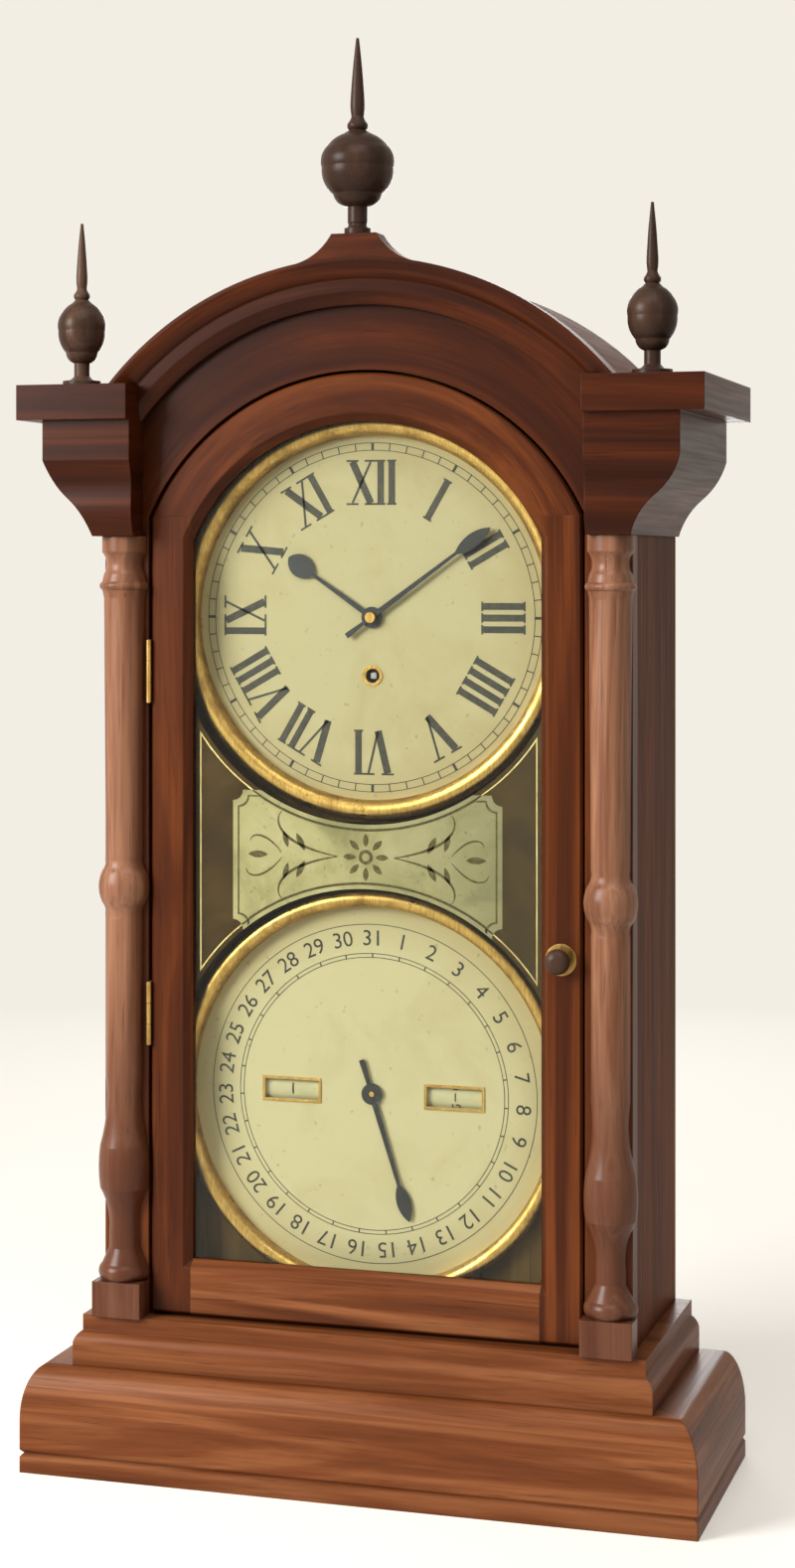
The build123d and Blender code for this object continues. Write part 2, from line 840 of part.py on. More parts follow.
# Layers of the train, from the front plate backwards
barrel_y = train_front + end_shake + motion_gap
drum_y = barrel_y + wheel_thickness
centre_y = drum_y + barrel_drum_length + 2 * motion_gap
third_y = barrel_y + 2 * wheel_thickness + 2 * motion_gap
escape_y = third_y + 2 * wheel_thickness + motion_gap
cannon_y = plate_front - motion_gap - motion_wheel_thickness
hour_wheel_y = cannon_y - motion_gap - motion_wheel_thickness
hour_hand_y = dial_front - hand_first_gap - hand_thickness
minute_hand_y = hour_hand_y - hand_gap - hand_thickness


def mesh_phase(driver_teeth, driver_phase, driven_teeth, direction):
    # Turns the driven wheel so that one of its gaps faces the driver's tooth along this direction
    offset = (direction - driver_phase) * driver_teeth / full_turn % 1
    facing = direction + half_turn
    half = half_turn / driven_teeth
    return facing + half + offset * full_turn / driven_teeth


def arbor(y0, y1):
    return rod(arbor_radius, y0, y1)


barrel_phase = 0.0
centre_pinion_phase = mesh_phase(barrel_teeth, barrel_phase, pinion_teeth, quarter_turn)
centre_phase = 0.0
third_direction = math.degrees(math.atan2(third_rise, third_offset))
third_pinion_phase = mesh_phase(centre_teeth, centre_phase, pinion_teeth, third_direction)
third_phase = 0.0
escape_direction = math.degrees(math.atan2(escape_z - third_z, -third_offset))
escape_pinion_phase = mesh_phase(third_teeth, third_phase, pinion_teeth, escape_direction)
minute_wheel_phase = mesh_phase(cannon_teeth, 0.0, minute_wheel_teeth, half_turn)
hour_wheel_phase = mesh_phase(minute_pinion_teeth, 0.0, hour_wheel_teeth, 0)


def barrel_wheel():
    great = across(teeth_face(barrel_teeth, barrel_module, barrel_phase), barrel_y, drum_y)
    drum = rod(barrel_drum_radius, drum_y, drum_y + barrel_drum_length)
    bore = rod(winding_radius + running_fit, barrel_y, drum_y + barrel_drum_length)
    return Pos(0, 0, barrel_z) * (great + drum - bore)


ratchet_y = plate_back + end_shake + wheel_thickness
click_z = barrel_z + ratchet_radius + click_length


def winding_arbor():
    # Runs in both plates, with the ratchet behind the back plate and a squared end towards the dial
    square_front = board_y + dial_thickness
    body = rod(winding_radius, plate_front - motion_gap, plate_back + end_shake)
    end = Pos(0, (square_front + plate_front - motion_gap) / 2, 0) * Box(
        winding_square, plate_front - motion_gap - square_front, winding_square)
    root = ratchet_radius - ratchet_depth
    ratchet = toothed_face(ratchet_teeth, root, ratchet_radius, tooth_share, tip_share)
    return Pos(0, 0, barrel_z) * (body + end + across(ratchet, plate_back + end_shake, ratchet_y))


def click():
    # Pawl on its own stud, its nose standing just clear of the ratchet's tips
    y0 = plate_back + end_shake
    nose = click_length - click_clearance
    arm = Polyline((-click_radius, 0), (-click_nose, -nose), (click_nose, -nose), (click_radius, 0), close=True)
    body = across(make_face(arm), y0, ratchet_y) + rod(click_radius, y0, ratchet_y)
    return Pos(0, 0, click_z) * (body - rod(click_stud_radius + running_fit, y0, ratchet_y))


def centre_wheel():
    body = wheel(centre_teeth, centre_module, centre_y, centre_phase)
    body += pinion(pinion_teeth, barrel_module, barrel_y - motion_gap / 2, drum_y + motion_gap / 2,
                   centre_pinion_phase)
    body += arbor(hour_hand_y, plate_back)
    return Pos(0, 0, dial_z) * body


def third_wheel():
    body = wheel(third_teeth, third_module, third_y, third_phase)
    body += pinion(pinion_teeth, centre_module, centre_y - motion_gap / 2,
                   centre_y + wheel_thickness + motion_gap / 2, third_pinion_phase)
    body += arbor(plate_front, plate_back)
    return Pos(third_offset, 0, third_z) * body


def escape_wheel():
    root = escape_radius - escape_depth
    face = toothed_face(escape_teeth, root, escape_radius, tooth_share, escape_tip_share)
    face = crossed(face, wheel_hub, root - escape_rim, wheel_crossings)
    body = across(face, escape_y, escape_y + wheel_thickness)
    body += pinion(pinion_teeth, third_module, third_y - motion_gap / 2,
                   third_y + wheel_thickness + motion_gap / 2, escape_pinion_phase)
    body += arbor(plate_front, plate_back)
    return Pos(0, 0, escape_z) * body


# Motion work behind the time dial
def cannon_pinion():
    body = pinion(cannon_teeth, motion_module, cannon_y - motion_gap / 4, plate_front - motion_gap / 2)
    body += rod(cannon_radius, minute_hand_y, cannon_y)
    return Pos(0, 0, dial_z) * (body - rod(arbor_radius + running_fit, minute_hand_y, plate_front))


def minute_wheel():
    body = across(teeth_face(minute_wheel_teeth, motion_module, minute_wheel_phase), cannon_y,
                  cannon_y + motion_wheel_thickness)
    body += pinion(minute_pinion_teeth, hour_module, hour_wheel_y - motion_gap / 4, cannon_y)
    bore = rod(stud_radius + running_fit, hour_wheel_y - motion_gap, plate_front)
    return Pos(-motion_reach, 0, dial_z) * (body - bore)


hour_pipe_bore = cannon_radius + running_fit
hour_pipe_radius = hour_pipe_bore + hour_pipe_wall


def hour_wheel():
    body = across(teeth_face(hour_wheel_teeth, hour_module, hour_wheel_phase), hour_wheel_y,
                  hour_wheel_y + motion_wheel_thickness)
    body += rod(hour_pipe_radius, hour_hand_y, hour_wheel_y)
    return Pos(0, 0, dial_z) * (body - rod(hour_pipe_bore, hour_hand_y, cannon_y))


# Hands, drawn pointing up and then turned to the time shown
def hand_face(length, boss, stem, spade, tail):
    # Tapered stem, leaf-shaped spade and a drop-shaped tail round a boss
    leaf = length * hand_leaf_share
    face = Circle(boss)
    neck = length - leaf + leaf * hand_leaf_overlap
    face += make_face(Polyline((-stem, 0), (stem, 0), (stem / 2, neck), (-stem / 2, neck), close=True))
    tip = (0, length)
    foot = (0, length - leaf)
    face += outline(ThreePointArc(foot, (spade, length - leaf / 2), tip),
                    ThreePointArc(tip, (-spade, length - leaf / 2), foot))
    if tail:
        face += make_face(Polyline((-stem / 2, 0), (-stem, -tail), (stem, -tail), (stem / 2, 0), close=True))
    return face


def placed_hand(face, y, clock_angle, bore, z):
    plate = across(face - Circle(bore), y, y + hand_thickness)
    return Pos(0, 0, z) * Rot(0, clock_angle, 0) * plate


def hour_hand():
    face = hand_face(time_sight - hour_hand_short, hand_boss_radius, hand_stem, hour_spade, 0)
    hour_angle = (shown_hour + shown_minute / minutes_on_dial) * full_turn / hours_on_dial
    return placed_hand(face, hour_hand_y, hour_angle, hour_pipe_radius, dial_z)


def minute_hand():
    length = time_sight - minute_hand_short
    face = hand_face(length, minute_boss_radius, hand_stem, minute_spade, minute_hand_tail)
    minute_angle = shown_minute * full_turn / minutes_on_dial
    return placed_hand(face, minute_hand_y, minute_angle, cannon_radius, dial_z)


def hand_nut():
    y0 = minute_hand_y - hand_nut_length
    return Pos(0, 0, dial_z) * rod(hand_nut_radius, y0, minute_hand_y)


# Movement frame
def pillar_places():
    x = plate_half_width - pillar_inset
    return [(sx * x, z) for sx in (-1, 1)
            for z in (dial_z - plate_below + pillar_inset, dial_z + plate_above - pillar_inset)]


def movement_plate(y0):
    plate = slab(-plate_half_width, plate_half_width, y0, y0 + plate_thickness, dial_z - plate_below,
                 dial_z + plate_above)
    for x, z in pillar_places():
        plate -= rod(pillar_neck_radius, y0, y0 + plate_thickness, x, z)
    for x, z in ((0, dial_z), (third_offset, third_z), (0, escape_z), (0, anchor_z)):
        plate -= rod(arbor_radius + running_fit, y0, y0 + plate_thickness, x, z)
    return plate - rod(winding_radius + running_fit, y0, y0 + plate_thickness, 0, barrel_z)


def movement_front_plate():
    # Carries the stud that the minute wheel turns on
    stud = rod(stud_radius, hour_wheel_y - motion_gap / 2, plate_front, -motion_reach, dial_z)
    return movement_plate(plate_front) + stud


def movement_back_plate():
    # Carries the stud that the click turns on
    return movement_plate(train_back) + rod(click_stud_radius, plate_back, ratchet_y, 0, click_z)


def movement_pillars():
    # Foot against the dial board, neck through each plate, nut behind
    pillars = []
    for x, z in pillar_places():
        pillar = rod(pillar_radius, board_back_y, plate_front, x, z)
        pillar += rod(pillar_neck_radius, plate_front, plate_back, x, z)
        pillar += rod(pillar_radius, train_front, train_back, x, z)
        pillar += rod(pillar_radius, plate_back, plate_back + pillar_nut_height, x, z)
        pillars.append(pillar)
    return pillars


# Pallets and pendulum
crutch_y = plate_back + crutch_gap
pendulum_y = crutch_y + crutch_thickness + fork_reach / 2
bob_z = anchor_z - pendulum_length


def pallet_anchor():
    # Two legs tangent to the escape wheel, the arbor, and the crutch with its fork behind
    reach = escape_radius * math.tan(math.radians(pallet_angle)) + pallet_hook
    leg = Rot(0, 0, -pallet_angle) * Pos(reach / 2, pallet_clearance + pallet_width / 2) * Rectangle(
        reach, pallet_width)
    face = Circle(anchor_hub) + leg + mirror(leg, Plane.YZ)
    body = across(face, escape_y - (anchor_thickness - wheel_thickness) / 2,
                  escape_y + (anchor_thickness + wheel_thickness) / 2)
    body += arbor(plate_front, crutch_y + crutch_thickness)
    body += rod(crutch_hub_radius, crutch_y, crutch_y + crutch_thickness)
    body += slab(-crutch_width / 2, crutch_width / 2, crutch_y, crutch_y + crutch_thickness, -crutch_length, 0)
    prong_x = rod_radius + fork_gap
    fork_z = -crutch_length
    body += slab(-prong_x - crutch_thickness, prong_x + crutch_thickness, crutch_y, crutch_y + crutch_thickness,
                 fork_z - crutch_width, fork_z)
    for side in (-1, 1):
        x0, x1 = sorted((side * prong_x, side * (prong_x + crutch_thickness)))
        body += slab(x0, x1, crutch_y, crutch_y + crutch_thickness + fork_reach, fork_z - crutch_width, fork_z)
    return Pos(0, 0, anchor_z) * body


def suspension_cock():
    # Slotted bracket on the back plate that the suspension spring hangs from
    z0 = anchor_z + cock_rise
    y1 = pendulum_y + spring_width / 2 + fork_reach / 2
    block = slab(-cock_half_width, cock_half_width, plate_back, y1, z0, z0 + cock_height)
    return block - slab(-cock_slot / 2, cock_slot / 2, pendulum_y - spring_width / 2 - fork_gap, y1, z0,
                        z0 + cock_height)


def pendulum_rod():
    # Suspension spring with its cross pin, and the rod down through the bob
    pin_z = anchor_z + cock_rise + cock_height + pin_fit + suspension_pin_radius
    spring = slab(-spring_thickness / 2, spring_thickness / 2, pendulum_y - spring_width / 2,
                  pendulum_y + spring_width / 2, anchor_z - spring_length, pin_z)
    pin_length = 2 * suspension_pin_radius + cock_half_width
    pin = Pos(0, pendulum_y, pin_z + pin_lift) * Rot(0, quarter_turn, 0) * Cylinder(suspension_pin_radius, pin_length)
    low = bob_z - rod_tail
    high = anchor_z - spring_length + rod_radius
    return spring + pin + Pos(0, pendulum_y, (low + high) / 2) * Cylinder(rod_radius, high - low)


def pendulum_bob():
    # Lens turned about its own axis, on the rod
    half = bob_thickness / 2
    edge = bob_edge / 2
    section = outline(
        Line((0, -half), (0, half)),
        TangentArc((0, half), (bob_radius, edge), tangent=(1, 0)),
        Line((bob_radius, edge), (bob_radius, -edge)),
        TangentArc((0, -half), (bob_radius, -edge), tangent=(1, 0)),
    )
    lens = revolve(section, Axis.Y, full_turn)
    return Pos(0, pendulum_y, bob_z) * (lens - Cylinder(rod_radius, 2 * bob_radius))


def rating_nut():
    top = bob_z - math.sqrt(bob_radius ** 2 - rod_radius ** 2)
    body = Cylinder(rating_nut_radius, rating_nut_height) - Cylinder(rod_radius, rating_nut_height)
    return Pos(0, pendulum_y, top - rating_nut_gap - rating_nut_height / 2) * body


# Calendar work
roller_y = board_y + roller_gap + roller_radius
date_wheel_y = board_back_y + motion_gap
bridge_y = board_back_y + bridge_gap


def roller(x):
    body = Cylinder(roller_radius, roller_length)
    reach = roller_length + 2 * cheek_gap + 2 * cheek_thickness
    body += Cylinder(roller_arbor, reach)
    return Pos(x, roller_y, calendar_z) * Rot(0, quarter_turn, 0) * body


def roller_frames():
    # A bent strap round the back of each roller, with a cheek at each end
    frames = []
    inner = roller_length / 2 + cheek_gap
    outer = inner + cheek_thickness
    strap_y = roller_y + roller_radius + roller_room
    tall = roller_radius + 3 * roller_room
    for x in (-roller_offset, roller_offset):
        frame = slab(x - outer, x + outer, board_back_y, strap_y + cheek_thickness, calendar_z - tall,
                     calendar_z + tall)
        frame -= slab(x - inner, x + inner, board_back_y, strap_y, calendar_z - tall, calendar_z + tall)
        hole = Pos(x, roller_y, calendar_z) * Rot(0, quarter_turn, 0) * Cylinder(roller_arbor + running_fit, 2 * outer)
        frames.append(frame - hole)
    return frames


def date_wheel():
    root = date_wheel_radius - date_wheel_depth
    face = toothed_face(date_teeth, root, date_wheel_radius, tooth_share, tip_share)
    body = across(face, date_wheel_y, date_wheel_y + wheel_thickness)
    body += rod(date_arbor_radius, hour_hand_y, bridge_y + plate_thickness)
    return Pos(0, 0, calendar_z) * body


def date_hand():
    length = calendar_sight - date_hand_short
    face = hand_face(length, hand_boss_radius, hand_stem, minute_spade, date_hand_tail)
    return placed_hand(face, hour_hand_y, shown_date * full_turn / date_teeth, date_arbor_radius, calendar_z)


def calendar_bridge():
    # Bar behind the date wheel on two feet that stand on the dial board
    bar = slab(-bridge_half_width, bridge_half_width, bridge_y, bridge_y + plate_thickness, -bridge_half_length,
               bridge_half_length)
    for side in (-1, 1):
        foot_z = side * (bridge_half_length - bridge_foot_radius)
        bar += rod(bridge_foot_radius, board_back_y, bridge_y, 0, foot_z)
    bar -= rod(date_arbor_radius + running_fit, bridge_y, bridge_y + plate_thickness)
    return Pos(0, 0, calendar_z) * bar


def build():
    right_base = base_right_moulding()
    right_side = right_side_board()
    cornice = right_cornice()
    column = right_column()
    nodes = {
        "base_front_moulding": base_front_moulding(),
        "base_side_mouldings": [right_base, mirrored(right_base)],
        "base_board": base_board(),
        "base_back_rail": base_back_rail(),
        "base_step": base_step(),
        "side_boards": [right_side, mirrored(right_side)],
        "back_board": back_board(),
        "front_stiles": front_stiles(),
        "arch_fascia": arch_fascia(),
        "arch_roof": arch_roof(),
        "arch_moulding": arch_moulding(),
        "crest_block": crest_block(),
        "cornices": [cornice, mirrored(cornice)],
        "columns": [column, mirrored(column)],
        "centre_finial": centre_finial(),
        "side_finials": side_finials(),
        "door_glass": door_glass(),
        "glass_bead": glass_bead(),
        "case_hinge_leaves": case_hinge_leaves(),
        "door_hinge_leaves": door_hinge_leaves(),
        "hinge_pins": hinge_pins(),
        "latch_knob": latch_knob(),
        "latch_tongue": latch_tongue(),
        "upper_dial_board": upper_dial_board(),
        "lower_dial_board": lower_dial_board(),
        "time_dial": time_dial(),
        "calendar_dial": calendar_dial(),
        "time_bezel": time_bezel(),
        "calendar_bezel": calendar_bezel(),
        "hour_hand": hour_hand(),
        "minute_hand": minute_hand(),
        "hand_nut": hand_nut(),
        "cannon_pinion": cannon_pinion(),
        "minute_wheel": minute_wheel(),
        "hour_wheel": hour_wheel(),
        "movement_front_plate": movement_front_plate(),
        "movement_back_plate": movement_back_plate(),
        "movement_pillars": movement_pillars(),
        "barrel_wheel": barrel_wheel(),
        "winding_arbor": winding_arbor(),
        "click": click(),
        "centre_wheel": centre_wheel(),
        "third_wheel": third_wheel(),
        "escape_wheel": escape_wheel(),
        "pallet_anchor": pallet_anchor(),
        "suspension_cock": suspension_cock(),
        "pendulum_rod": pendulum_rod(),
        "pendulum_bob": pendulum_bob(),
        "rating_nut": rating_nut(),
        "weekday_roller": roller(-roller_offset),
        "month_roller": roller(roller_offset),
        "roller_frames": roller_frames(),
        "date_wheel": date_wheel(),
        "date_hand": date_hand(),
        "calendar_bridge": calendar_bridge(),
    }
    nodes.update(door_pieces())
    return nodes


os.makedirs("parts", exist_ok=True)
for node_name, shape in build().items():
    if isinstance(shape, list):
        shape = Compound(children=shape)
    export_step(shape, f"parts/{node_name}.step")
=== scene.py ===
import math

import bmesh
import bpy
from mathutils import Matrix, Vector


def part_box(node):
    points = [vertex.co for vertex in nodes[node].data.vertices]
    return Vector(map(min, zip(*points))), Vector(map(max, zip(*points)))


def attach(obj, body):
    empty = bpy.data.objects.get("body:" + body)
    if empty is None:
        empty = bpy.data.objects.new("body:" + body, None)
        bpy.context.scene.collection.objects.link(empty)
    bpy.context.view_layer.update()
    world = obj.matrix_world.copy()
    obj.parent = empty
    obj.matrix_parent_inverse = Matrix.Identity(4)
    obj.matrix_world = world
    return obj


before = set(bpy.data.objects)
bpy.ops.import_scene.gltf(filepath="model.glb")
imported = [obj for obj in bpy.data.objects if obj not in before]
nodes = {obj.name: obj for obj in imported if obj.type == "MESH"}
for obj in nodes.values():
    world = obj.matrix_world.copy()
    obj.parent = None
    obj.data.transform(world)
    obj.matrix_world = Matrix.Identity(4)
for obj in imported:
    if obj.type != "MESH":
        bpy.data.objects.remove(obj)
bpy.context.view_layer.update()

print("frame loaded:", len(nodes), "nodes")


# ways to write node trees
traceSamples = 4


def tone(red, green, blue):
    # a colour as seen on a screen, 0 to 255, turned into the linear values that shaders want
    def linear(value):
        value /= 255
        return value / 12.92 if value <= 0.04045 else ((value + 0.055) / 1.055) ** 2.4
    return (linear(red), linear(green), linear(blue), 1.0)


def startMaterial(name):
    material = bpy.data.materials.new(name)
    material.use_nodes = True
    return material, material.node_tree, material.node_tree.nodes["Principled BSDF"]


def feed(tree, socket, value):
    if isinstance(value, bpy.types.NodeSocket):
        tree.links.new(value, socket)
    else:
        socket.default_value = value


def calc(tree, operation, first, second=0.0):
    made = tree.nodes.new("ShaderNodeMath")
    made.operation = operation
    for socket, value in zip(made.inputs, (first, second)):
        feed(tree, socket, value)
    return made.outputs[0]


def noise(tree, vector, scale=1.0, detail=3.0, roughness=0.5, distortion=0.0):
    made = tree.nodes.new("ShaderNodeTexNoise")
    feed(tree, made.inputs["Vector"], vector)
    made.inputs["Scale"].default_value = scale
    made.inputs["Detail"].default_value = detail
    made.inputs["Roughness"].default_value = roughness
    made.inputs["Distortion"].default_value = distortion
    return made.outputs["Fac"]


def span(tree, value, low, high, outLow=0.0, outHigh=1.0):
    made = tree.nodes.new("ShaderNodeMapRange")
    feed(tree, made.inputs["Value"], value)
    for name, number in (("From Min", low), ("From Max", high), ("To Min", outLow), ("To Max", outHigh)):
        made.inputs[name].default_value = number
    return made.outputs["Result"]


def ramp(tree, value, stops):
    made = tree.nodes.new("ShaderNodeValToRGB")
    feed(tree, made.inputs["Fac"], value)
    elements = made.color_ramp.elements
    while len(elements) < len(stops):
        elements.new(0.5)
    for element, (place, colour) in zip(elements, stops):
        element.position = place
        element.color = colour
    return made.outputs["Color"]


def blendColour(tree, amount, under, over):
    made = tree.nodes.new("ShaderNodeMix")
    made.data_type = "RGBA"
    feed(tree, made.inputs[0], amount)
    feed(tree, made.inputs[6], under)
    feed(tree, made.inputs[7], over)
    return made.outputs[2]


def objectSpace(tree):
    return tree.nodes.new("ShaderNodeTexCoord").outputs["Object"]


def stretch(tree, vector, scale, shift=(0, 0, 0)):
    made = tree.nodes.new("ShaderNodeMapping")
    feed(tree, made.inputs["Vector"], vector)
    made.inputs["Scale"].default_value = scale
    made.inputs["Location"].default_value = shift
    return made.outputs["Vector"]


def roundedNormal(tree, radius):
    made = tree.nodes.new("ShaderNodeBevel")
    made.samples = traceSamples
    made.inputs["Radius"].default_value = radius
    return made.outputs["Normal"]


def edgeWear(tree, normal, low, high):
    # how far the rounded normal leans away from the flat one, which is only near an edge
    flat = tree.nodes.new("ShaderNodeNewGeometry").outputs["Normal"]
    lean = tree.nodes.new("ShaderNodeVectorMath")
    lean.operation = "DOT_PRODUCT"
    feed(tree, lean.inputs[0], flat)
    feed(tree, lean.inputs[1], normal)
    return span(tree, lean.outputs["Value"], high, low)


def bump(tree, height, strength, distance, normal=None):
    made = tree.nodes.new("ShaderNodeBump")
    made.inputs["Strength"].default_value = strength
    made.inputs["Distance"].default_value = distance
    feed(tree, made.inputs["Height"], height)
    if normal is not None:
        feed(tree, made.inputs["Normal"], normal)
    return made.outputs["Normal"]


# ambient occlusion, low in corners and recesses; the wood uses it to paint shade there
def darkCorners(tree, reach):
    made = tree.nodes.new("ShaderNodeAmbientOcclusion")
    made.samples = traceSamples
    made.inputs["Distance"].default_value = reach
    return made.outputs["AO"]


# wood: figure, fibre and pores that run along the grain, rubbed edges, and dirt with painted shade in the
# corners
woodGrain = {"archCentreZ": 0.494, "archRadius": 0.19, "leastForward": 0.05}


def facesSideways(tree):
    # one on faces that look left or right
    facing = tree.nodes.new("ShaderNodeSeparateXYZ")
    feed(tree, facing.inputs[0], tree.nodes.new("ShaderNodeNewGeometry").outputs["True Normal"])
    sideways = calc(tree, "ABSOLUTE", facing.outputs[0])
    forwards = calc(tree, "ABSOLUTE", facing.outputs[1])
    forwards = calc(tree, "MAXIMUM", forwards, woodGrain["leastForward"])
    return calc(tree, "GREATER_THAN", sideways, forwards)


def grainSpace(tree, run):
    # a vector whose third part runs along the grain
    spot = objectSpace(tree)
    if run == "up":
        return spot
    if run == "around":
        # across the front, and back along the returns at both ends
        choose = tree.nodes.new("ShaderNodeMix")
        choose.data_type = "VECTOR"
        feed(tree, choose.inputs[0], facesSideways(tree))
        feed(tree, choose.inputs[4], grainSpace(tree, "across"))
        feed(tree, choose.inputs[5], grainSpace(tree, "back"))
        return choose.outputs[1]
    parts = tree.nodes.new("ShaderNodeSeparateXYZ")
    feed(tree, parts.inputs[0], spot)
    x, y, z = parts.outputs
    joined = tree.nodes.new("ShaderNodeCombineXYZ")
    if run == "across":
        order = (z, y, x)
    elif run == "back":
        order = (x, z, y)
    else:
        rise = calc(tree, "SUBTRACT", z, woodGrain["archCentreZ"])
        squares = calc(tree, "ADD", calc(tree, "MULTIPLY", x, x), calc(tree, "MULTIPLY", rise, rise))
        radius = calc(tree, "SQRT", squares)
        turn = calc(tree, "MULTIPLY", calc(tree, "ARCTAN2", rise, x), woodGrain["archRadius"])
        order = (radius, y, turn)
    for socket, value in zip(joined.inputs, order):
        feed(tree, socket, value)
    return joined.outputs[0]


woodFinish = {
    "figure": (34.0, 34.0, 2.2), "figureNoise": (1.0, 5.0, 0.55, 1.6),
    "figureStops": (0.28, 0.47, 0.60, 0.72),
    "fibre": (420.0, 420.0, 9.0), "fibreNoise": (1.0, 4.0, 0.6), "fibreSpan": (0.35, 0.7, 0.0, 0.35),
    "pores": (900.0, 900.0, 26.0), "poreNoise": (1.0, 2.0, 0.5), "poreSpan": (0.62, 0.74, 0.0, 0.55),
    "cloud": (7.0, 7.0, 3.0), "cloudNoise": (1.0, 3.0, 0.5), "cloudSpan": (0.3, 0.7, 0.0, 0.35),
    "patches": (60.0, 60.0, 25.0), "patchNoise": (1.0, 3.0), "patchSpan": (0.4, 0.65, 0.1, 0.75),
    "edgeRadius": 0.0009, "wearLow": 0.55, "wearHigh": 0.93, "poreTone": (34, 14, 7),
    "cornerReach": 0.012, "dirtAndShadeSpan": (0.25, 0.85, 0.55, 0.0), "dirtAndShadeTone": (30, 13, 7),
    "glossSpan": (0.3, 0.7), "glossFall": 0.05, "glossRise": 0.14, "fibreBump": (0.35, 0.00012),
    "specular": 0.02, "coatRoughness": 0.3,
}


def makeWood(name, run, dark, middle, light, worn, gloss=0.36, coat=0.22, shift=(0.0, 0.0, 0.0),
             foot=None):
    look = woodFinish
    material, tree, shader = startMaterial(name)
    space = grainSpace(tree, run)
    figure = noise(tree, stretch(tree, space, look["figure"], shift), *look["figureNoise"])
    fibre = noise(tree, stretch(tree, space, look["fibre"], shift), *look["fibreNoise"])
    pores = noise(tree, stretch(tree, space, look["pores"], shift), *look["poreNoise"])
    cloud = noise(tree, stretch(tree, space, look["cloud"], shift), *look["cloudNoise"])
    colour = ramp(tree, figure, list(zip(look["figureStops"], (dark, middle, light, middle))))
    colour = blendColour(tree, span(tree, fibre, *look["fibreSpan"]), colour, dark)
    colour = blendColour(tree, span(tree, pores, *look["poreSpan"]), colour, tone(*look["poreTone"]))
    colour = blendColour(tree, span(tree, cloud, *look["cloudSpan"]), colour, middle)
    normal = roundedNormal(tree, look["edgeRadius"])
    wear = edgeWear(tree, normal, look["wearLow"], look["wearHigh"])
    patches = noise(tree, stretch(tree, space, look["patches"]), *look["patchNoise"])
    wear = calc(tree, "MULTIPLY", wear, span(tree, patches, *look["patchSpan"]))
    colour = blendColour(tree, wear, colour, worn)
    if foot is not None:
        # darker towards the foot
        height = tree.nodes.new("ShaderNodeSeparateXYZ")
        feed(tree, height.inputs[0], objectSpace(tree))
        low = span(tree, height.outputs[2], foot["low"], foot["high"], foot["amount"], 0.0)
        colour = blendColour(tree, low, colour, foot["colour"])
    # dirt with painted shade: darker where the ambient-occlusion node finds surfaces close by, in corners and
    # recesses
    dirtAndShade = span(tree, darkCorners(tree, look["cornerReach"]), *look["dirtAndShadeSpan"])
    colour = blendColour(tree, dirtAndShade, colour, tone(*look["dirtAndShadeTone"]))
    feed(tree, shader.inputs["Base Color"], colour)
    roughness = span(tree, fibre, *look["glossSpan"], gloss - look["glossFall"], gloss + look["glossRise"])
    feed(tree, shader.inputs["Roughness"], roughness)
    feed(tree, shader.inputs["Normal"], bump(tree, fibre, *look["fibreBump"], normal))
    feed(tree, shader.inputs["Coat Normal"], normal)
    shader.inputs["Specular IOR Level"].default_value = look["specular"]
    shader.inputs["Coat Weight"].default_value = coat
    shader.inputs["Coat Roughness"].default_value = look["coatRoughness"]
    return material


def woodTones(dark, middle, light, worn):
    # dark and light streaks in the middle tone, and the tone of a rubbed edge
    return {"dark": tone(*dark), "middle": tone(*middle), "light": tone(*light), "worn": tone(*worn)}


redBrown = woodTones((43, 16, 6), (90, 42, 16), (125, 65, 28), (154, 98, 56))
# a darker copy of the case wood, painted shade, for the cornices, crest block, back rail and arch
shadedBrown = woodTones((36, 12, 4), (66, 27, 8), (96, 43, 15), (134, 80, 44))
# a lighter, more orange copy of the case wood for the base and the door's bottom rail; its lightness is
# painted light
litWarmBrown = woodTones((64, 29, 13), (123, 67, 34), (163, 102, 62), (184, 128, 86))
# a paler copy of the case wood for the columns, a painted highlight
litPaleBrown = woodTones((80, 45, 28), (138, 88, 61), (180, 128, 98), (200, 154, 120))
ebonised = woodTones((45, 30, 22), (76, 54, 42), (106, 78, 62), (146, 108, 80))
softwood = woodTones((96, 66, 40), (139, 101, 63), (168, 128, 84), (186, 150, 106))
dullBrown = woodTones((66, 48, 24), (98, 74, 40), (122, 94, 54), (140, 108, 68))

woodUp = makeWood("caseWoodUp", "up", **redBrown)
sideWood = makeWood("sideWood", "up", gloss=0.5, coat=0.05, shift=(1.3, 0.6, 2.2), **redBrown)
woodAcross = makeWood("caseWoodAcross", "around", **shadedBrown)
woodBack = makeWood("caseWoodBack", "back", gloss=0.55, coat=0.05, **redBrown)
woodArch = makeWood("caseWoodArch", "arch", **shadedBrown)
doorArch = makeWood("doorWoodArch", "arch", shift=(2.3, 4.1, 1.9), **redBrown)
columnFoot = {"low": 0.17, "high": 0.29, "amount": 0.72, "colour": tone(78, 34, 13)}
columnWood = makeWood("columnWood", "up", gloss=0.26, coat=0.45, foot=columnFoot, **litPaleBrown)
baseAcross = makeWood("baseWoodAcross", "around", **litWarmBrown)
baseBack = makeWood("baseWoodBack", "back", **litWarmBrown)
doorUp = makeWood("doorWoodUp", "up", shift=(3.1, 1.7, 0.4), **redBrown)
doorAcross = makeWood("doorWoodAcross", "across", shift=(5.3, 2.9, 0.8), **litWarmBrown)
finialWood = makeWood("finialWood", "up", gloss=0.26, **ebonised)
backWood = makeWood("backWood", "up", gloss=0.62, coat=0.0, **softwood)
boardWood = makeWood("dialBoardWood", "up", gloss=0.55, coat=0.0, **dullBrown)
print("wood done")


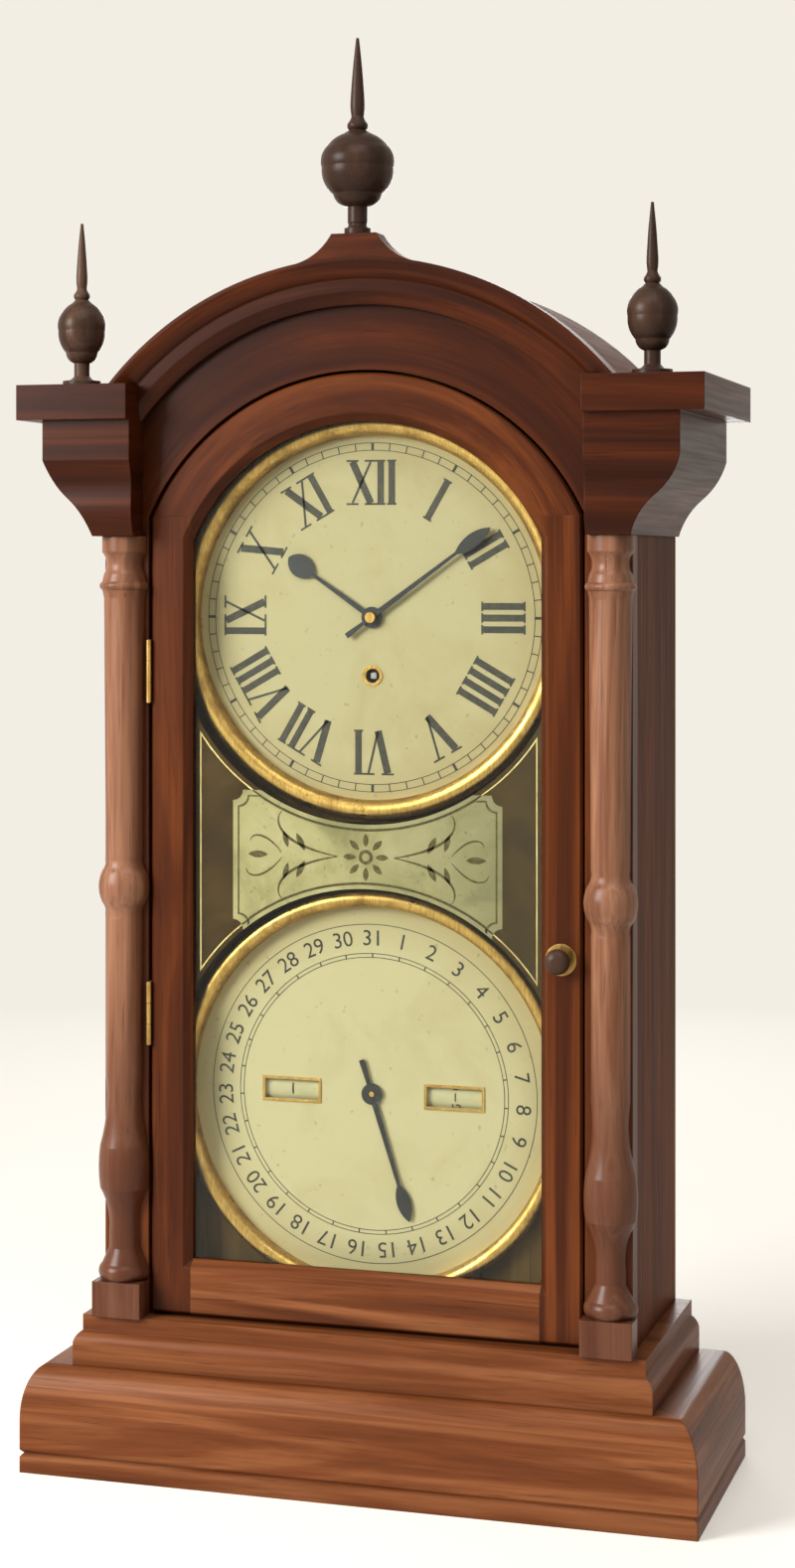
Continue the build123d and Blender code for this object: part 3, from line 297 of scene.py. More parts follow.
# metal, paper, paint and glass
metalFinish = {
    "blotch": (55.0, 5.0, 0.6, 0.4), "tarnishSpan": (0.48, 0.68, 0.0, 0.75), "glossSpan": (0.3, 0.7),
    "glossRise": 0.22, "scratch": (900.0, 900.0, 60.0), "scratchNoise": (1.0, 3.0),
    "scratchStops": (0.35, 0.65), "scratchBump": (0.12, 0.00005), "edgeRadius": 0.0004,
}


def makeMetal(name, deep, bright, tarnish, gloss):
    look = metalFinish
    material, tree, shader = startMaterial(name)
    spot = objectSpace(tree)
    blotch = noise(tree, spot, *look["blotch"])
    scratch = noise(tree, stretch(tree, spot, look["scratch"]), *look["scratchNoise"])
    colour = ramp(tree, scratch, list(zip(look["scratchStops"], (deep, bright))))
    colour = blendColour(tree, span(tree, blotch, *look["tarnishSpan"]), colour, tarnish)
    feed(tree, shader.inputs["Base Color"], colour)
    roughness = span(tree, blotch, *look["glossSpan"], gloss, gloss + look["glossRise"])
    feed(tree, shader.inputs["Roughness"], roughness)
    shader.inputs["Metallic"].default_value = 1.0
    normal = roundedNormal(tree, look["edgeRadius"])
    feed(tree, shader.inputs["Normal"], bump(tree, scratch, *look["scratchBump"], normal))
    return material


brass = makeMetal("agedBrass", tone(176, 138, 72), tone(206, 170, 100), tone(122, 88, 42), 0.24)
steel = makeMetal("greySteel", tone(120, 120, 122), tone(160, 160, 162), tone(92, 84, 74), 0.30)
gilt = makeMetal("giltLeaf", tone(196, 172, 112), tone(226, 208, 156), tone(168, 140, 82), 0.34)


paperFinish = {
    "stain": (17.0, 5.0, 0.62, 0.6), "stainStops": (0.3, 0.52, 0.75), "rim": 0.104, "rimWidth": 0.026,
    "rimAmount": 0.6, "speck": (260.0, 2.0, 0.5), "speckSpan": (0.70, 0.76, 0.0, 0.35),
    "speckTone": (120, 96, 58), "glossSpan": (0.3, 0.7, 0.5, 0.68), "fibre": (1400.0, 2.0, 0.5),
    "fibreBump": (0.08, 0.00005),
}


def makePaper(name, centre, pale, aged, rimTone):
    # cream paint, yellowed towards the rim, with small specks
    look = paperFinish
    material, tree, shader = startMaterial(name)
    spot = objectSpace(tree)
    fromCentre = stretch(tree, spot, (1.0, 0.0, 1.0), (-centre.x, 0.0, -centre.z))
    length = tree.nodes.new("ShaderNodeVectorMath")
    length.operation = "LENGTH"
    feed(tree, length.inputs[0], fromCentre)
    stain = noise(tree, spot, *look["stain"])
    speck = noise(tree, spot, *look["speck"])
    fibre = noise(tree, spot, *look["fibre"])
    colour = ramp(tree, stain, list(zip(look["stainStops"], (aged, pale, pale))))
    near = look["rim"] - look["rimWidth"]
    edge = span(tree, length.outputs["Value"], near, look["rim"], 0.0, look["rimAmount"])
    colour = blendColour(tree, edge, colour, rimTone)
    colour = blendColour(tree, span(tree, speck, *look["speckSpan"]), colour, tone(*look["speckTone"]))
    feed(tree, shader.inputs["Base Color"], colour)
    feed(tree, shader.inputs["Roughness"], span(tree, stain, *look["glossSpan"]))
    feed(tree, shader.inputs["Normal"], bump(tree, fibre, *look["fibreBump"]))
    return material


def middleOf(node):
    low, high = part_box(node)
    return (low + high) / 2


timeCentre = middleOf("time_dial")
dateCentre = middleOf("calendar_dial")
timePaper = makePaper("timeDialPaint", timeCentre,
                      tone(209, 194, 154), tone(196, 178, 134), tone(180, 160, 114))
# the calendar dial wears a lighter copy of the time dial's cream, painted light on the lower dial
litDatePaper = makePaper("calendarDialPaint", dateCentre,
                      tone(221, 207, 167), tone(208, 191, 148), tone(190, 170, 124))
rollerPaper = makePaper("rollerPaint", dateCentre,
                        tone(214, 204, 166), tone(200, 186, 144), tone(200, 186, 144))


inkFinish = {"rub": (420.0, 4.0, 0.6), "rubStops": (0.42, 0.68), "glossSpan": (0.3, 0.7), "glossRise": 0.2}


def makeInk(name, deep, faded, gloss):
    look = inkFinish
    material, tree, shader = startMaterial(name)
    rub = noise(tree, objectSpace(tree), *look["rub"])
    feed(tree, shader.inputs["Base Color"], ramp(tree, rub, list(zip(look["rubStops"], (deep, faded)))))
    roughness = span(tree, rub, *look["glossSpan"], gloss, gloss + look["glossRise"])
    feed(tree, shader.inputs["Roughness"], roughness)
    return material


ink = makeInk("dialInk", tone(34, 31, 26), tone(70, 64, 48), 0.5)
blueBlack = makeInk("handPaint", tone(20, 21, 26), tone(38, 38, 44), 0.28)


glassFinish = {
    "wave": (9.0, 2.0, 0.4), "waveBump": (0.05, 0.0005), "tone": (244, 247, 240), "bend": 1.25,
    "glossSpan": (0.3, 0.7, 0.0, 0.02),
}


def makeGlass(name):
    # old window glass that lets the lamps through to the dials
    look = glassFinish
    material, tree, shader = startMaterial(name)
    wave = noise(tree, objectSpace(tree), *look["wave"])
    shader.inputs["Base Color"].default_value = tone(*look["tone"])
    shader.inputs["Transmission Weight"].default_value = 1.0
    shader.inputs["IOR"].default_value = look["bend"]
    feed(tree, shader.inputs["Roughness"], span(tree, wave, *look["glossSpan"]))
    feed(tree, shader.inputs["Normal"], bump(tree, wave, *look["waveBump"]))
    path = tree.nodes.new("ShaderNodeLightPath")
    clear = tree.nodes.new("ShaderNodeBsdfTransparent")
    clear.inputs["Color"].default_value = tone(*look["tone"])
    choose = tree.nodes.new("ShaderNodeMixShader")
    passing = calc(tree, "MAXIMUM", path.outputs["Is Shadow Ray"], path.outputs["Is Diffuse Ray"])
    feed(tree, choose.inputs[0], passing)
    tree.links.new(shader.outputs[0], choose.inputs[1])
    tree.links.new(clear.outputs[0], choose.inputs[2])
    tree.links.new(choose.outputs[0], tree.nodes["Material Output"].inputs["Surface"])
    return material


oldGlass = makeGlass("doorGlass")
print("metal, paint and glass done")


# which finish each CAD piece wears
finishes = {
    "caseWoodUp": (woodUp, "front_stiles"),
    "sideWood": (sideWood, "side_boards"),
    "columnWood": (columnWood, "columns"),
    "caseWoodAcross": (woodAcross, "cornices crest_block base_back_rail"),
    "baseWoodAcross": (baseAcross, "base_front_moulding base_step"),
    "caseWoodBack": (woodBack, "arch_roof"),
    "baseWoodBack": (baseBack, "base_side_mouldings"),
    "caseWoodArch": (woodArch, "arch_fascia arch_moulding"),
    "doorArch": (doorArch, "door_arch_rail"),
    "doorUp": (doorUp, "door_latch_stile door_hinge_stile glass_bead"),
    "doorAcross": (doorAcross, "door_bottom_rail"),
    "finialWood": (finialWood, "centre_finial side_finials latch_knob"),
    "backWood": (backWood, "back_board base_board"),
    "boardWood": (boardWood, "upper_dial_board lower_dial_board"),
    "brass": (brass, "case_hinge_leaves door_hinge_leaves movement_front_plate movement_back_plate "
                     "barrel_wheel centre_wheel third_wheel escape_wheel minute_wheel hour_wheel time_bezel "
                     "calendar_bezel pendulum_bob suspension_cock rating_nut calendar_bridge hand_nut "
                     "date_wheel roller_frames cannon_pinion latch_tongue click"),
    "steel": (steel, "hinge_pins movement_pillars winding_arbor pallet_anchor pendulum_rod"),
    "timePaper": (timePaper, "time_dial"),
    "litDatePaper": (litDatePaper, "calendar_dial"),
    "rollerPaper": (rollerPaper, "weekday_roller month_roller"),
    "blueBlack": (blueBlack, "hour_hand minute_hand date_hand"),
    "oldGlass": (oldGlass, "door_glass"),
}


def dress(piece, material):
    piece.data.materials.clear()
    piece.data.materials.append(material)


for material, names in finishes.values():
    for name in names.split():
        dress(nodes[name], material)
print("CAD pieces dressed")


# thin pieces: prisms drawn in the front view, all closed
def newPiece(name, shape, material, body):
    mesh = bpy.data.meshes.new(name)
    bmesh.ops.recalc_face_normals(shape, faces=shape.faces)
    shape.to_mesh(mesh)
    shape.free()
    piece = bpy.data.objects.new(name, mesh)
    bpy.context.scene.collection.objects.link(piece)
    dress(piece, material)
    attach(piece, body)
    return piece


def prism(shape, outline, front, back):
    ends = []
    for depth in (front, back):
        ends.append([shape.verts.new((x, depth, z)) for x, z in outline])
    shape.faces.new(ends[0])
    shape.faces.new(list(reversed(ends[1])))
    for index in range(len(outline)):
        after = (index + 1) % len(outline)
        shape.faces.new((ends[0][index], ends[1][index], ends[1][after], ends[0][after]))


def band(shape, outer, inner, front, back):
    # a closed strip between two outlines with as many points
    rows = []
    for outline, depth in ((inner, front), (outer, front), (outer, back), (inner, back)):
        rows.append([shape.verts.new((x, depth, z)) for x, z in outline])
    for first, second in zip(rows, rows[1:] + rows[:1]):
        for k in range(len(outer)):
            after = (k + 1) % len(outer)
            shape.faces.new((first[k], second[k], second[after], first[after]))


def ring(shape, centre, inner, outer, front, back, steps=160):
    # a band between two circles
    def circle(radius):
        turns = [2 * math.pi * k / steps for k in range(steps)]
        return [(centre.x + radius * math.sin(turn), centre.z + radius * math.cos(turn)) for turn in turns]
    band(shape, circle(outer), circle(inner), front, back)


def bar(start, end, startWidth, endWidth=None):
    endWidth = startWidth if endWidth is None else endWidth
    along = (Vector(end) - Vector(start)).normalized()
    side = Vector((-along.y, along.x))
    first, last = Vector(start), Vector(end)
    return [first + side * startWidth / 2, first - side * startWidth / 2,
            last - side * endWidth / 2, last + side * endWidth / 2]


def placed(outline, centre, angle, radius):
    # moves an outline so that its own up points away from the centre, at this clock angle
    up = Vector((math.sin(angle), math.cos(angle)))
    right = Vector((math.cos(angle), -math.sin(angle)))
    spots = [Vector((centre.x, centre.z)) + up * (radius + point.y) + right * point.x for point in outline]
    return [(spot.x, spot.y) for spot in spots]


# time dial print: chapter numerals with serifs, and a minute track
timePrint = {
    "numeralRadius": 0.0635, "numeralHeight": 0.0255, "thick": 0.0042, "thin": 0.0013, "serif": 0.0011,
    "gap": 0.0011, "iWidth": 0.0054, "vWidth": 0.0156, "xWidth": 0.0150, "iShare": 0.92, "serifShare": 0.85,
    "trackInner": 0.0942, "trackOuter": 0.0984, "trackLine": 0.0004, "minuteMark": 0.0006, "hourMark": 0.0016,
    "proud": 0.00012,
}


def numeralStrokes(text):
    look = timePrint
    height = look["numeralHeight"]
    widths = {"I": look["iWidth"], "V": look["vWidth"], "X": look["xWidth"]}
    total = sum(widths[sign] + look["gap"] for sign in text) - look["gap"]
    left = -total / 2
    strokes = []
    for sign in text:
        width = widths[sign]
        middle = left + width / 2
        half = (width - look["thick"]) / 2
        foot, top = look["serif"], height - look["serif"]
        low, high = foot / 2, top + foot / 2
        if sign == "I":
            strokes.append(bar((middle, foot), (middle, top), look["thick"] * look["iShare"]))
            strokes.append(bar((left, low), (left + width, low), look["serif"]))
            strokes.append(bar((left, high), (left + width, high), look["serif"]))
        elif sign == "V":
            strokes.append(bar((middle - half, top), (middle, low), look["thick"]))
            strokes.append(bar((middle + half, top), (middle, low), look["thin"]))
        else:
            strokes.append(bar((middle - half, top), (middle + half, foot), look["thick"]))
            strokes.append(bar((middle + half, top), (middle - half, foot), look["thin"]))
        if sign != "I":
            reach = look["thick"] * look["serifShare"]
            for centre in (middle - half, middle + half):
                strokes.append(bar((centre - reach, high), (centre + reach, high), look["serif"]))
                if sign == "X":
                    strokes.append(bar((centre - reach, low), (centre + reach, low), look["serif"]))
        left += width + look["gap"]
    return strokes


def makeTimePrint():
    look = timePrint
    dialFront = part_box("time_dial")[0].y
    front, back = dialFront - look["proud"], dialFront
    shape = bmesh.new()
    for hour, text in enumerate("XII I II III IIII V VI VII VIII IX X XI".split()):
        for stroke in numeralStrokes(text):
            outline = placed(stroke, timeCentre, math.radians(hour * 30), look["numeralRadius"])
            prism(shape, outline, front, back)
    for radius in (look["trackInner"], look["trackOuter"]):
        ring(shape, timeCentre, radius, radius + look["trackLine"], front, back)
    for minute in range(60):
        width = look["minuteMark"] if minute % 5 else look["hourMark"]
        mark = bar((0, 0), (0, look["trackOuter"] - look["trackInner"]), width)
        prism(shape, placed(mark, timeCentre, math.radians(minute * 6), look["trackInner"]), front, back)
    return newPiece("timeDialPrint", shape, ink, "case")


makeTimePrint()
print("time dial print done")


# plain numbers, from the built-in letter shapes
numberForm = {"resolution": 3, "weld": 1e-7}


def numberMesh(text, size, thickness):
    curve = bpy.data.curves.new("number", "FONT")
    curve.body = text
    curve.size = size
    curve.align_x = "CENTER"
    curve.align_y = "CENTER"
    curve.extrude = thickness / 2
    curve.resolution_u = numberForm["resolution"]
    holder = bpy.data.objects.new("number", curve)
    bpy.context.scene.collection.objects.link(holder)
    bpy.context.view_layer.update()
    mesh = bpy.data.meshes.new_from_object(holder.evaluated_get(bpy.context.evaluated_depsgraph_get()))
    bpy.data.objects.remove(holder)
    bpy.data.curves.remove(curve)
    return mesh


def addNumber(shape, text, size, thickness, place, slices=1):
    # place turns (right, up, forward) into a point of the frame; the slices let the number bend
    mesh = numberMesh(text, size, thickness)
    part = bmesh.new()
    part.from_mesh(mesh)
    bpy.data.meshes.remove(mesh)
    bmesh.ops.remove_doubles(part, verts=part.verts, dist=numberForm["weld"])
    for k in range(1, slices):
        everything = part.verts[:] + part.edges[:] + part.faces[:]
        height = size * (k / slices - 0.5)
        bmesh.ops.bisect_plane(part, geom=everything, plane_co=(0, height, 0), plane_no=(0, 1, 0))
    spots = {vert: shape.verts.new(place(*vert.co)) for vert in part.verts}
    for face in part.faces:
        shape.faces.new([spots[vert] for vert in face.verts])
    part.free()


datePrint = {
    "days": 31, "numberRadius": 0.0875, "numberSize": 0.0125, "trackInner": 0.0768, "trackOuter": 0.0790,
    "outerLine": 0.0955, "line": 0.0004, "dayMark": 0.0007, "proud": 0.00012,
}


def makeDatePrint():
    look = datePrint
    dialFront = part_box("calendar_dial")[0].y
    front, back = dialFront - look["proud"], dialFront
    shape = bmesh.new()
    for radius in (look["trackInner"], look["trackOuter"], look["outerLine"]):
        ring(shape, dateCentre, radius, radius + look["line"], front, back)
    for day in range(1, look["days"] + 1):
        angle = 2 * math.pi * day / look["days"]
        mark = bar((0, 0), (0, look["trackOuter"] - look["trackInner"]), look["dayMark"])
        prism(shape, placed(mark, dateCentre, angle, look["trackInner"]), front, back)
        up = Vector((math.sin(angle), 0, math.cos(angle)))
        right = Vector((math.cos(angle), 0, -math.sin(angle)))
        spot = Vector((dateCentre.x, (front + back) / 2, dateCentre.z)) + up * look["numberRadius"]

        def place(x, y, z, spot=spot, up=up, right=right):
            return spot + right * x + up * y - Vector((0, z, 0))
        addNumber(shape, str(day), look["numberSize"], look["proud"], place)
    return newPiece("calendarDialPrint", shape, ink, "case")


makeDatePrint()
print("calendar dial print done")


# plain numbers on the two calendar rollers, bent round them
rollerPrint = {
    "weekday_roller": {"count": 7, "size": 0.0088}, "month_roller": {"count": 12, "size": 0.0068},
    "proud": 0.00024, "radius": 0.012, "slices": 12,
}


def makeRollerPrint(body):
    look = rollerPrint[body]
    middle = middleOf(body)
    radius, proud = rollerPrint["radius"], rollerPrint["proud"]
    shape = bmesh.new()
    for number in range(look["count"]):
        start = 2 * math.pi * number / look["count"]

        def place(x, y, z, start=start):
            turn = start + y / radius
            reach = radius + proud / 2 + z
            return (middle.x + x, middle.y - reach * math.cos(turn), middle.z + reach * math.sin(turn))
        addNumber(shape, str(number + 1), look["size"], proud, place, rollerPrint["slices"])
    return newPiece(body.replace("_r", "R") + "Print", shape, ink, body)


for roller in ("weekday_roller", "month_roller"):
    makeRollerPrint(roller)


# small brass trim: frames round the calendar windows, a ring round the winding hole, a plate behind the knob
brassTrim = {
    "windowHalf": (0.0160, 0.0055), "windowBorder": 0.0016, "windowProud": 0.0005,
    "windingPlace": (0.0, 0.453), "windingRing": (0.0041, 0.0060), "windingProud": 0.0004,
    "platePlace": (0.114, 0.300), "plateRing": (0.0046, 0.0088), "plateProud": 0.00025, "steps": 48,
}


def rectangle(centre, half):
    x, z = centre
    wide, tall = half
    return [(x - wide, z - tall), (x + wide, z - tall), (x + wide, z + tall), (x - wide, z + tall)]


def makeBrassTrim():
    look = brassTrim
    shape = bmesh.new()
    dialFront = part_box("calendar_dial")[0].y
    for roller in ("weekday_roller", "month_roller"):
        middle = middleOf(roller)
        inner = rectangle((middle.x, middle.z), look["windowHalf"])
        outer = rectangle((middle.x, middle.z), [part + look["windowBorder"] for part in look["windowHalf"]])
        band(shape, outer, inner, dialFront - look["windowProud"], dialFront)
    x, z = look["windingPlace"]
    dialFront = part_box("time_dial")[0].y
    front = dialFront - look["windingProud"]
    ring(shape, Vector((x, 0, z)), *look["windingRing"], front, dialFront, look["steps"])
    newPiece("dialTrim", shape, brass, "case")
    shape = bmesh.new()
    x, z = look["platePlace"]
    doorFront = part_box("door_latch_stile")[0].y
    front = doorFront - look["plateProud"]
    ring(shape, Vector((x, 0, z)), *look["plateRing"], front, doorFront, look["steps"])
    newPiece("knobPlate", shape, brass, "door")


makeBrassTrim()
print("rollers and brass trim done")


# painted panel on the back of the glass, between the dials: pale ground, line border, rosette and scrolls,
# on a darker ground that has a gilt line
panel = {
    "upperRadius": 0.1160, "lowerRadius": 0.1170, "half": 0.079, "top": 0.3880, "foot": 0.3085,
    "notch": 0.006, "notchSteps": 6, "steps": 20, "middleZ": 0.3518, "borderInset": 0.0028, "border": 0.0010,
    "paint": 0.00008, "surroundHalf": 0.1014, "surroundLine": (0.0024, 0.0032), "lineTone": (96, 84, 46),
    "lineFaded": (134, 118, 70),
}


def arcPoints(centre, radius, startX, endX, rise, steps):
    # points of a circle above or below its centre, between two X places
    spots = []
    for k in range(steps + 1):
        x = startX + (endX - startX) * k / steps
        spots.append((x, centre.z + rise * math.sqrt(radius ** 2 - x ** 2)))
    return spots


def panelEdge(inset=0.0):
    # the right-hand half of the outline, from the top middle round to the bottom middle
    look = panel
    upper, lower = look["upperRadius"] + inset, look["lowerRadius"] + inset
    half, top, foot = look["half"] - inset, look["top"] - inset, look["foot"] + inset
    topX = math.sqrt(upper ** 2 - (timeCentre.z - top) ** 2)
    footX = min(math.sqrt(lower ** 2 - (foot - dateCentre.z) ** 2), half - look["notch"])
    edge = arcPoints(timeCentre, upper, 0.0, topX, -1, look["steps"])
    for cornerZ, first in ((top, math.pi), (foot, math.pi / 2)):
        for k in range(look["notchSteps"] + 1):
            angle = first + math.pi / 2 * k / look["notchSteps"]
            edge.append((half + look["notch"] * math.cos(angle), cornerZ + look["notch"] * math.sin(angle)))
    return edge + arcPoints(dateCentre, lower, footX, 0.0, 1, look["steps"])


def surroundEdge(inset=0.0):
    # the same half of the darker ground, which reaches the door stiles
    half = panel["surroundHalf"] - inset
    edge = arcPoints(timeCentre, panel["upperRadius"] + inset, 0.0, half, -1, panel["steps"])
    return edge + arcPoints(dateCentre, panel["lowerRadius"] + inset, half, 0.0, 1, panel["steps"])


def mirrored(edge):
    return edge + [(-x, z) for x, z in reversed(edge[1:-1])]


panelFinish = {
    "cloud": (32.0, 5.0, 0.6, 0.5), "cloudStops": (0.30, 0.50, 0.68), "flake": (380.0, 3.0, 0.55),
    "flakeSpan": (0.64, 0.72, 0.0, 0.4), "shadeFrom": -0.03, "shadeTo": 0.08, "shadeTone": (118, 114, 92),
    "glossSpan": (0.3, 0.7, 0.42, 0.6), "specular": 0.1,
}


def makePanelPaint(name, deep, middle, pale, flaked, rightShade):
    # old paint on glass, clouded and flaked, with painted shade that makes it greyer towards its right-hand
    # end
    look = panelFinish
    material, tree, shader = startMaterial(name)
    spot = objectSpace(tree)
    cloud = noise(tree, spot, *look["cloud"])
    flake = noise(tree, spot, *look["flake"])
    colour = ramp(tree, cloud, list(zip(look["cloudStops"], (deep, middle, pale))))
    colour = blendColour(tree, span(tree, flake, *look["flakeSpan"]), colour, flaked)
    across = tree.nodes.new("ShaderNodeSeparateXYZ")
    feed(tree, across.inputs[0], spot)
    # painted shade: the paint turns greyer towards its right-hand end
    faded = span(tree, across.outputs[0], look["shadeFrom"], look["shadeTo"], 0.0, rightShade)
    colour = blendColour(tree, faded, colour, tone(*look["shadeTone"]))
    feed(tree, shader.inputs["Base Color"], colour)
    feed(tree, shader.inputs["Roughness"], span(tree, cloud, *look["glossSpan"]))
    shader.inputs["Specular IOR Level"].default_value = look["specular"]
    return material


# each stroke: start, heading, length, bend, curl and thickness; each leaf: foot, heading, length and width
scrolls = {
    "strokes": (((0.0165, 0.3518), 0.15, 0.062, 0.5, 7.5, 0.0016),
                ((0.0165, 0.3518), -0.15, 0.062, -0.5, -7.5, 0.0016),
                ((0.050, 0.3535), 0.9, 0.030, -0.8, -7.0, 0.0012),
                ((0.050, 0.3500), -0.9, 0.034, 0.8, 7.0, 0.0012)),
    "leaves": (((0.036, 0.3545), 1.1, 0.011, 0.0036), ((0.036, 0.3490), -1.1, 0.011, 0.0036),
               ((0.046, 0.3560), 1.3, 0.010, 0.0032), ((0.046, 0.3475), -1.3, 0.010, 0.0032),
               ((0.058, 0.3518), 0.0, 0.012, 0.0040)),
    "petals": 8, "petalStart": 0.0056, "petalLength": 0.0078, "petalWide": 0.0034, "rosetteInner": 0.0022,
    "rosetteOuter": 0.0042, "rosetteSteps": 32, "shortening": 0.45, "curlPower": 3, "fineEnd": 0.30,
    "leafPower": 0.8,
}


def scrollPoints(start, heading, length, bend, curl, steps=26):
    # a stroke that walks forward and bends ever more, ending in a curl
    x, z = start
    spots = [(x, z)]
    for k in range(steps):
        share = k / steps
        heading += (bend + curl * share ** scrolls["curlPower"]) / steps
        pace = length / steps * (1 - scrolls["shortening"] * share)
        x += pace * math.cos(heading)
        z += pace * math.sin(heading)
        spots.append((x, z))
    return spots


def ribbon(spots, thick):
    # an outline round a line of points, thick in the middle and fine at both ends
    left, right = [], []
    last = len(spots) - 1
    fine = scrolls["fineEnd"]
    for k, (x, z) in enumerate(spots):
        before, after = spots[max(k - 1, 0)], spots[min(k + 1, last)]
        along = Vector((after[0] - before[0], after[1] - before[1])).normalized()
        wide = thick * (fine + (1 - fine) * math.sin(math.pi * k / last)) / 2
        left.append((x - along.y * wide, z + along.x * wide))
        right.append((x + along.y * wide, z - along.x * wide))
    return left + right[::-1]


def leafShape(foot, heading, length, wide, steps=8):
    out, back = [], []
    for k in range(steps + 1):
        share = k / steps
        inside = 0 < k < steps
        swell = wide / 2 * math.sin(math.pi * share) ** scrolls["leafPower"] if inside else 0.0
        x = foot[0] + length * share * math.cos(heading)
        z = foot[1] + length * share * math.sin(heading)
        out.append((x - swell * math.sin(heading), z + swell * math.cos(heading)))
        if inside:
            back.append((x + swell * math.sin(heading), z - swell * math.cos(heading)))
    return out + back[::-1]


def makePanel():
    look = panel
    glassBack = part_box("door_glass")[1].y
    lineBack = glassBack + look["paint"]
    groundBack = lineBack + look["paint"]
    paleGround = makePanelPaint("panelPaint", tone(164, 154, 112), tone(202, 189, 141), tone(216, 202, 160),
                                tone(112, 96, 56), 0.55)
    darkGround = makePanelPaint("panelSurroundPaint", tone(52, 36, 14), tone(72, 52, 22), tone(88, 66, 33),
                                tone(112, 92, 54), 0.1)
    for name, edge, front, paint in (("panelGround", panelEdge(), lineBack, paleGround),
                                     ("panelSurround", surroundEdge(), groundBack, darkGround)):
        ground = bmesh.new()
        prism(ground, mirrored(edge), front, front + look["paint"])
        newPiece(name, ground, paint, "door")
    trim = bmesh.new()
    outer, inner = (mirrored(surroundEdge(inset)) for inset in look["surroundLine"])
    band(trim, outer, inner, lineBack, groundBack)
    newPiece("panelTrim", trim, gilt, "door")
    lines = bmesh.new()
    outer, inner = (mirrored(panelEdge(look["borderInset"] + grow)) for grow in (0.0, look["border"]))
    band(lines, outer, inner, glassBack, lineBack)
    middle = Vector((0.0, 0.0, look["middleZ"]))
    ring(lines, middle, scrolls["rosetteInner"], scrolls["rosetteOuter"], glassBack, lineBack,
         scrolls["rosetteSteps"])
    for k in range(scrolls["petals"]):
        heading = 2 * math.pi * k / scrolls["petals"]
        start = scrolls["petalStart"]
        foot = (start * math.cos(heading), middle.z + start * math.sin(heading))
        petal = leafShape(foot, heading, scrolls["petalLength"], scrolls["petalWide"])
        prism(lines, petal, glassBack, lineBack)
    for side in (1, -1):
        for start, heading, length, bend, curl, thick in scrolls["strokes"]:
            stroke = ribbon(scrollPoints(start, heading, length, bend, curl), thick)
            prism(lines, [(side * x, z) for x, z in stroke], glassBack, lineBack)
        for foot, heading, length, wide in scrolls["leaves"]:
            leaf = leafShape(foot, heading, length, wide)
            prism(lines, [(side * x, z) for x, z in leaf], glassBack, lineBack)
    lineInk = makeInk("panelLine", tone(*look["lineTone"]), tone(*look["lineFaded"]), 0.45)
    newPiece("panelLines", lines, lineInk, "door")


makePanel()
print("painted panel done")


# camera at the photo's viewing angle, to the right of the clock, and level
cameraSpot = {
    "place": (0.466, -1.524, 0.515), "turn": 16.76, "lens": 63.8, "sensor": 36,
    "shiftX": 0.0, "shiftY": -0.139,
}
camera = bpy.data.objects.new("camera", bpy.data.cameras.new("camera"))
bpy.context.scene.collection.objects.link(camera)
camera.location = cameraSpot["place"]
camera.rotation_euler = (math.radians(90), 0, math.radians(cameraSpot["turn"]))
camera.data.lens = cameraSpot["lens"]
camera.data.sensor_width = cameraSpot["sensor"]
camera.data.shift_x = cameraSpot["shiftX"]
camera.data.shift_y = cameraSpot["shiftY"]
bpy.context.scene.camera = camera


# studio: a round pale floor that fades into the sky, four soft boxes and an even sky
studio = {
    "paper": (tone(246, 241, 232), tone(250, 246, 238)), "paperNoise": (3.0, 3.0), "paperStops": (0.3, 0.7),
    "roughness": 0.9, "specular": 0.1, "far": tone(243, 238, 228), "light": tone(255, 250, 242),
    "floorReach": 16.0, "floorSteps": 96, "fadeStart": 0.3, "fadeEnd": 1.7, "sky": 0.18, "glow": 0.36,
}


def seenDirectly(tree):
    # one where the camera looks straight at it, or through glass, or in a reflection
    path = tree.nodes.new("ShaderNodeLightPath")
    seen = calc(tree, "MAXIMUM", path.outputs["Is Camera Ray"], path.outputs["Is Transmission Ray"])
    return calc(tree, "MAXIMUM", seen, path.outputs["Is Glossy Ray"])


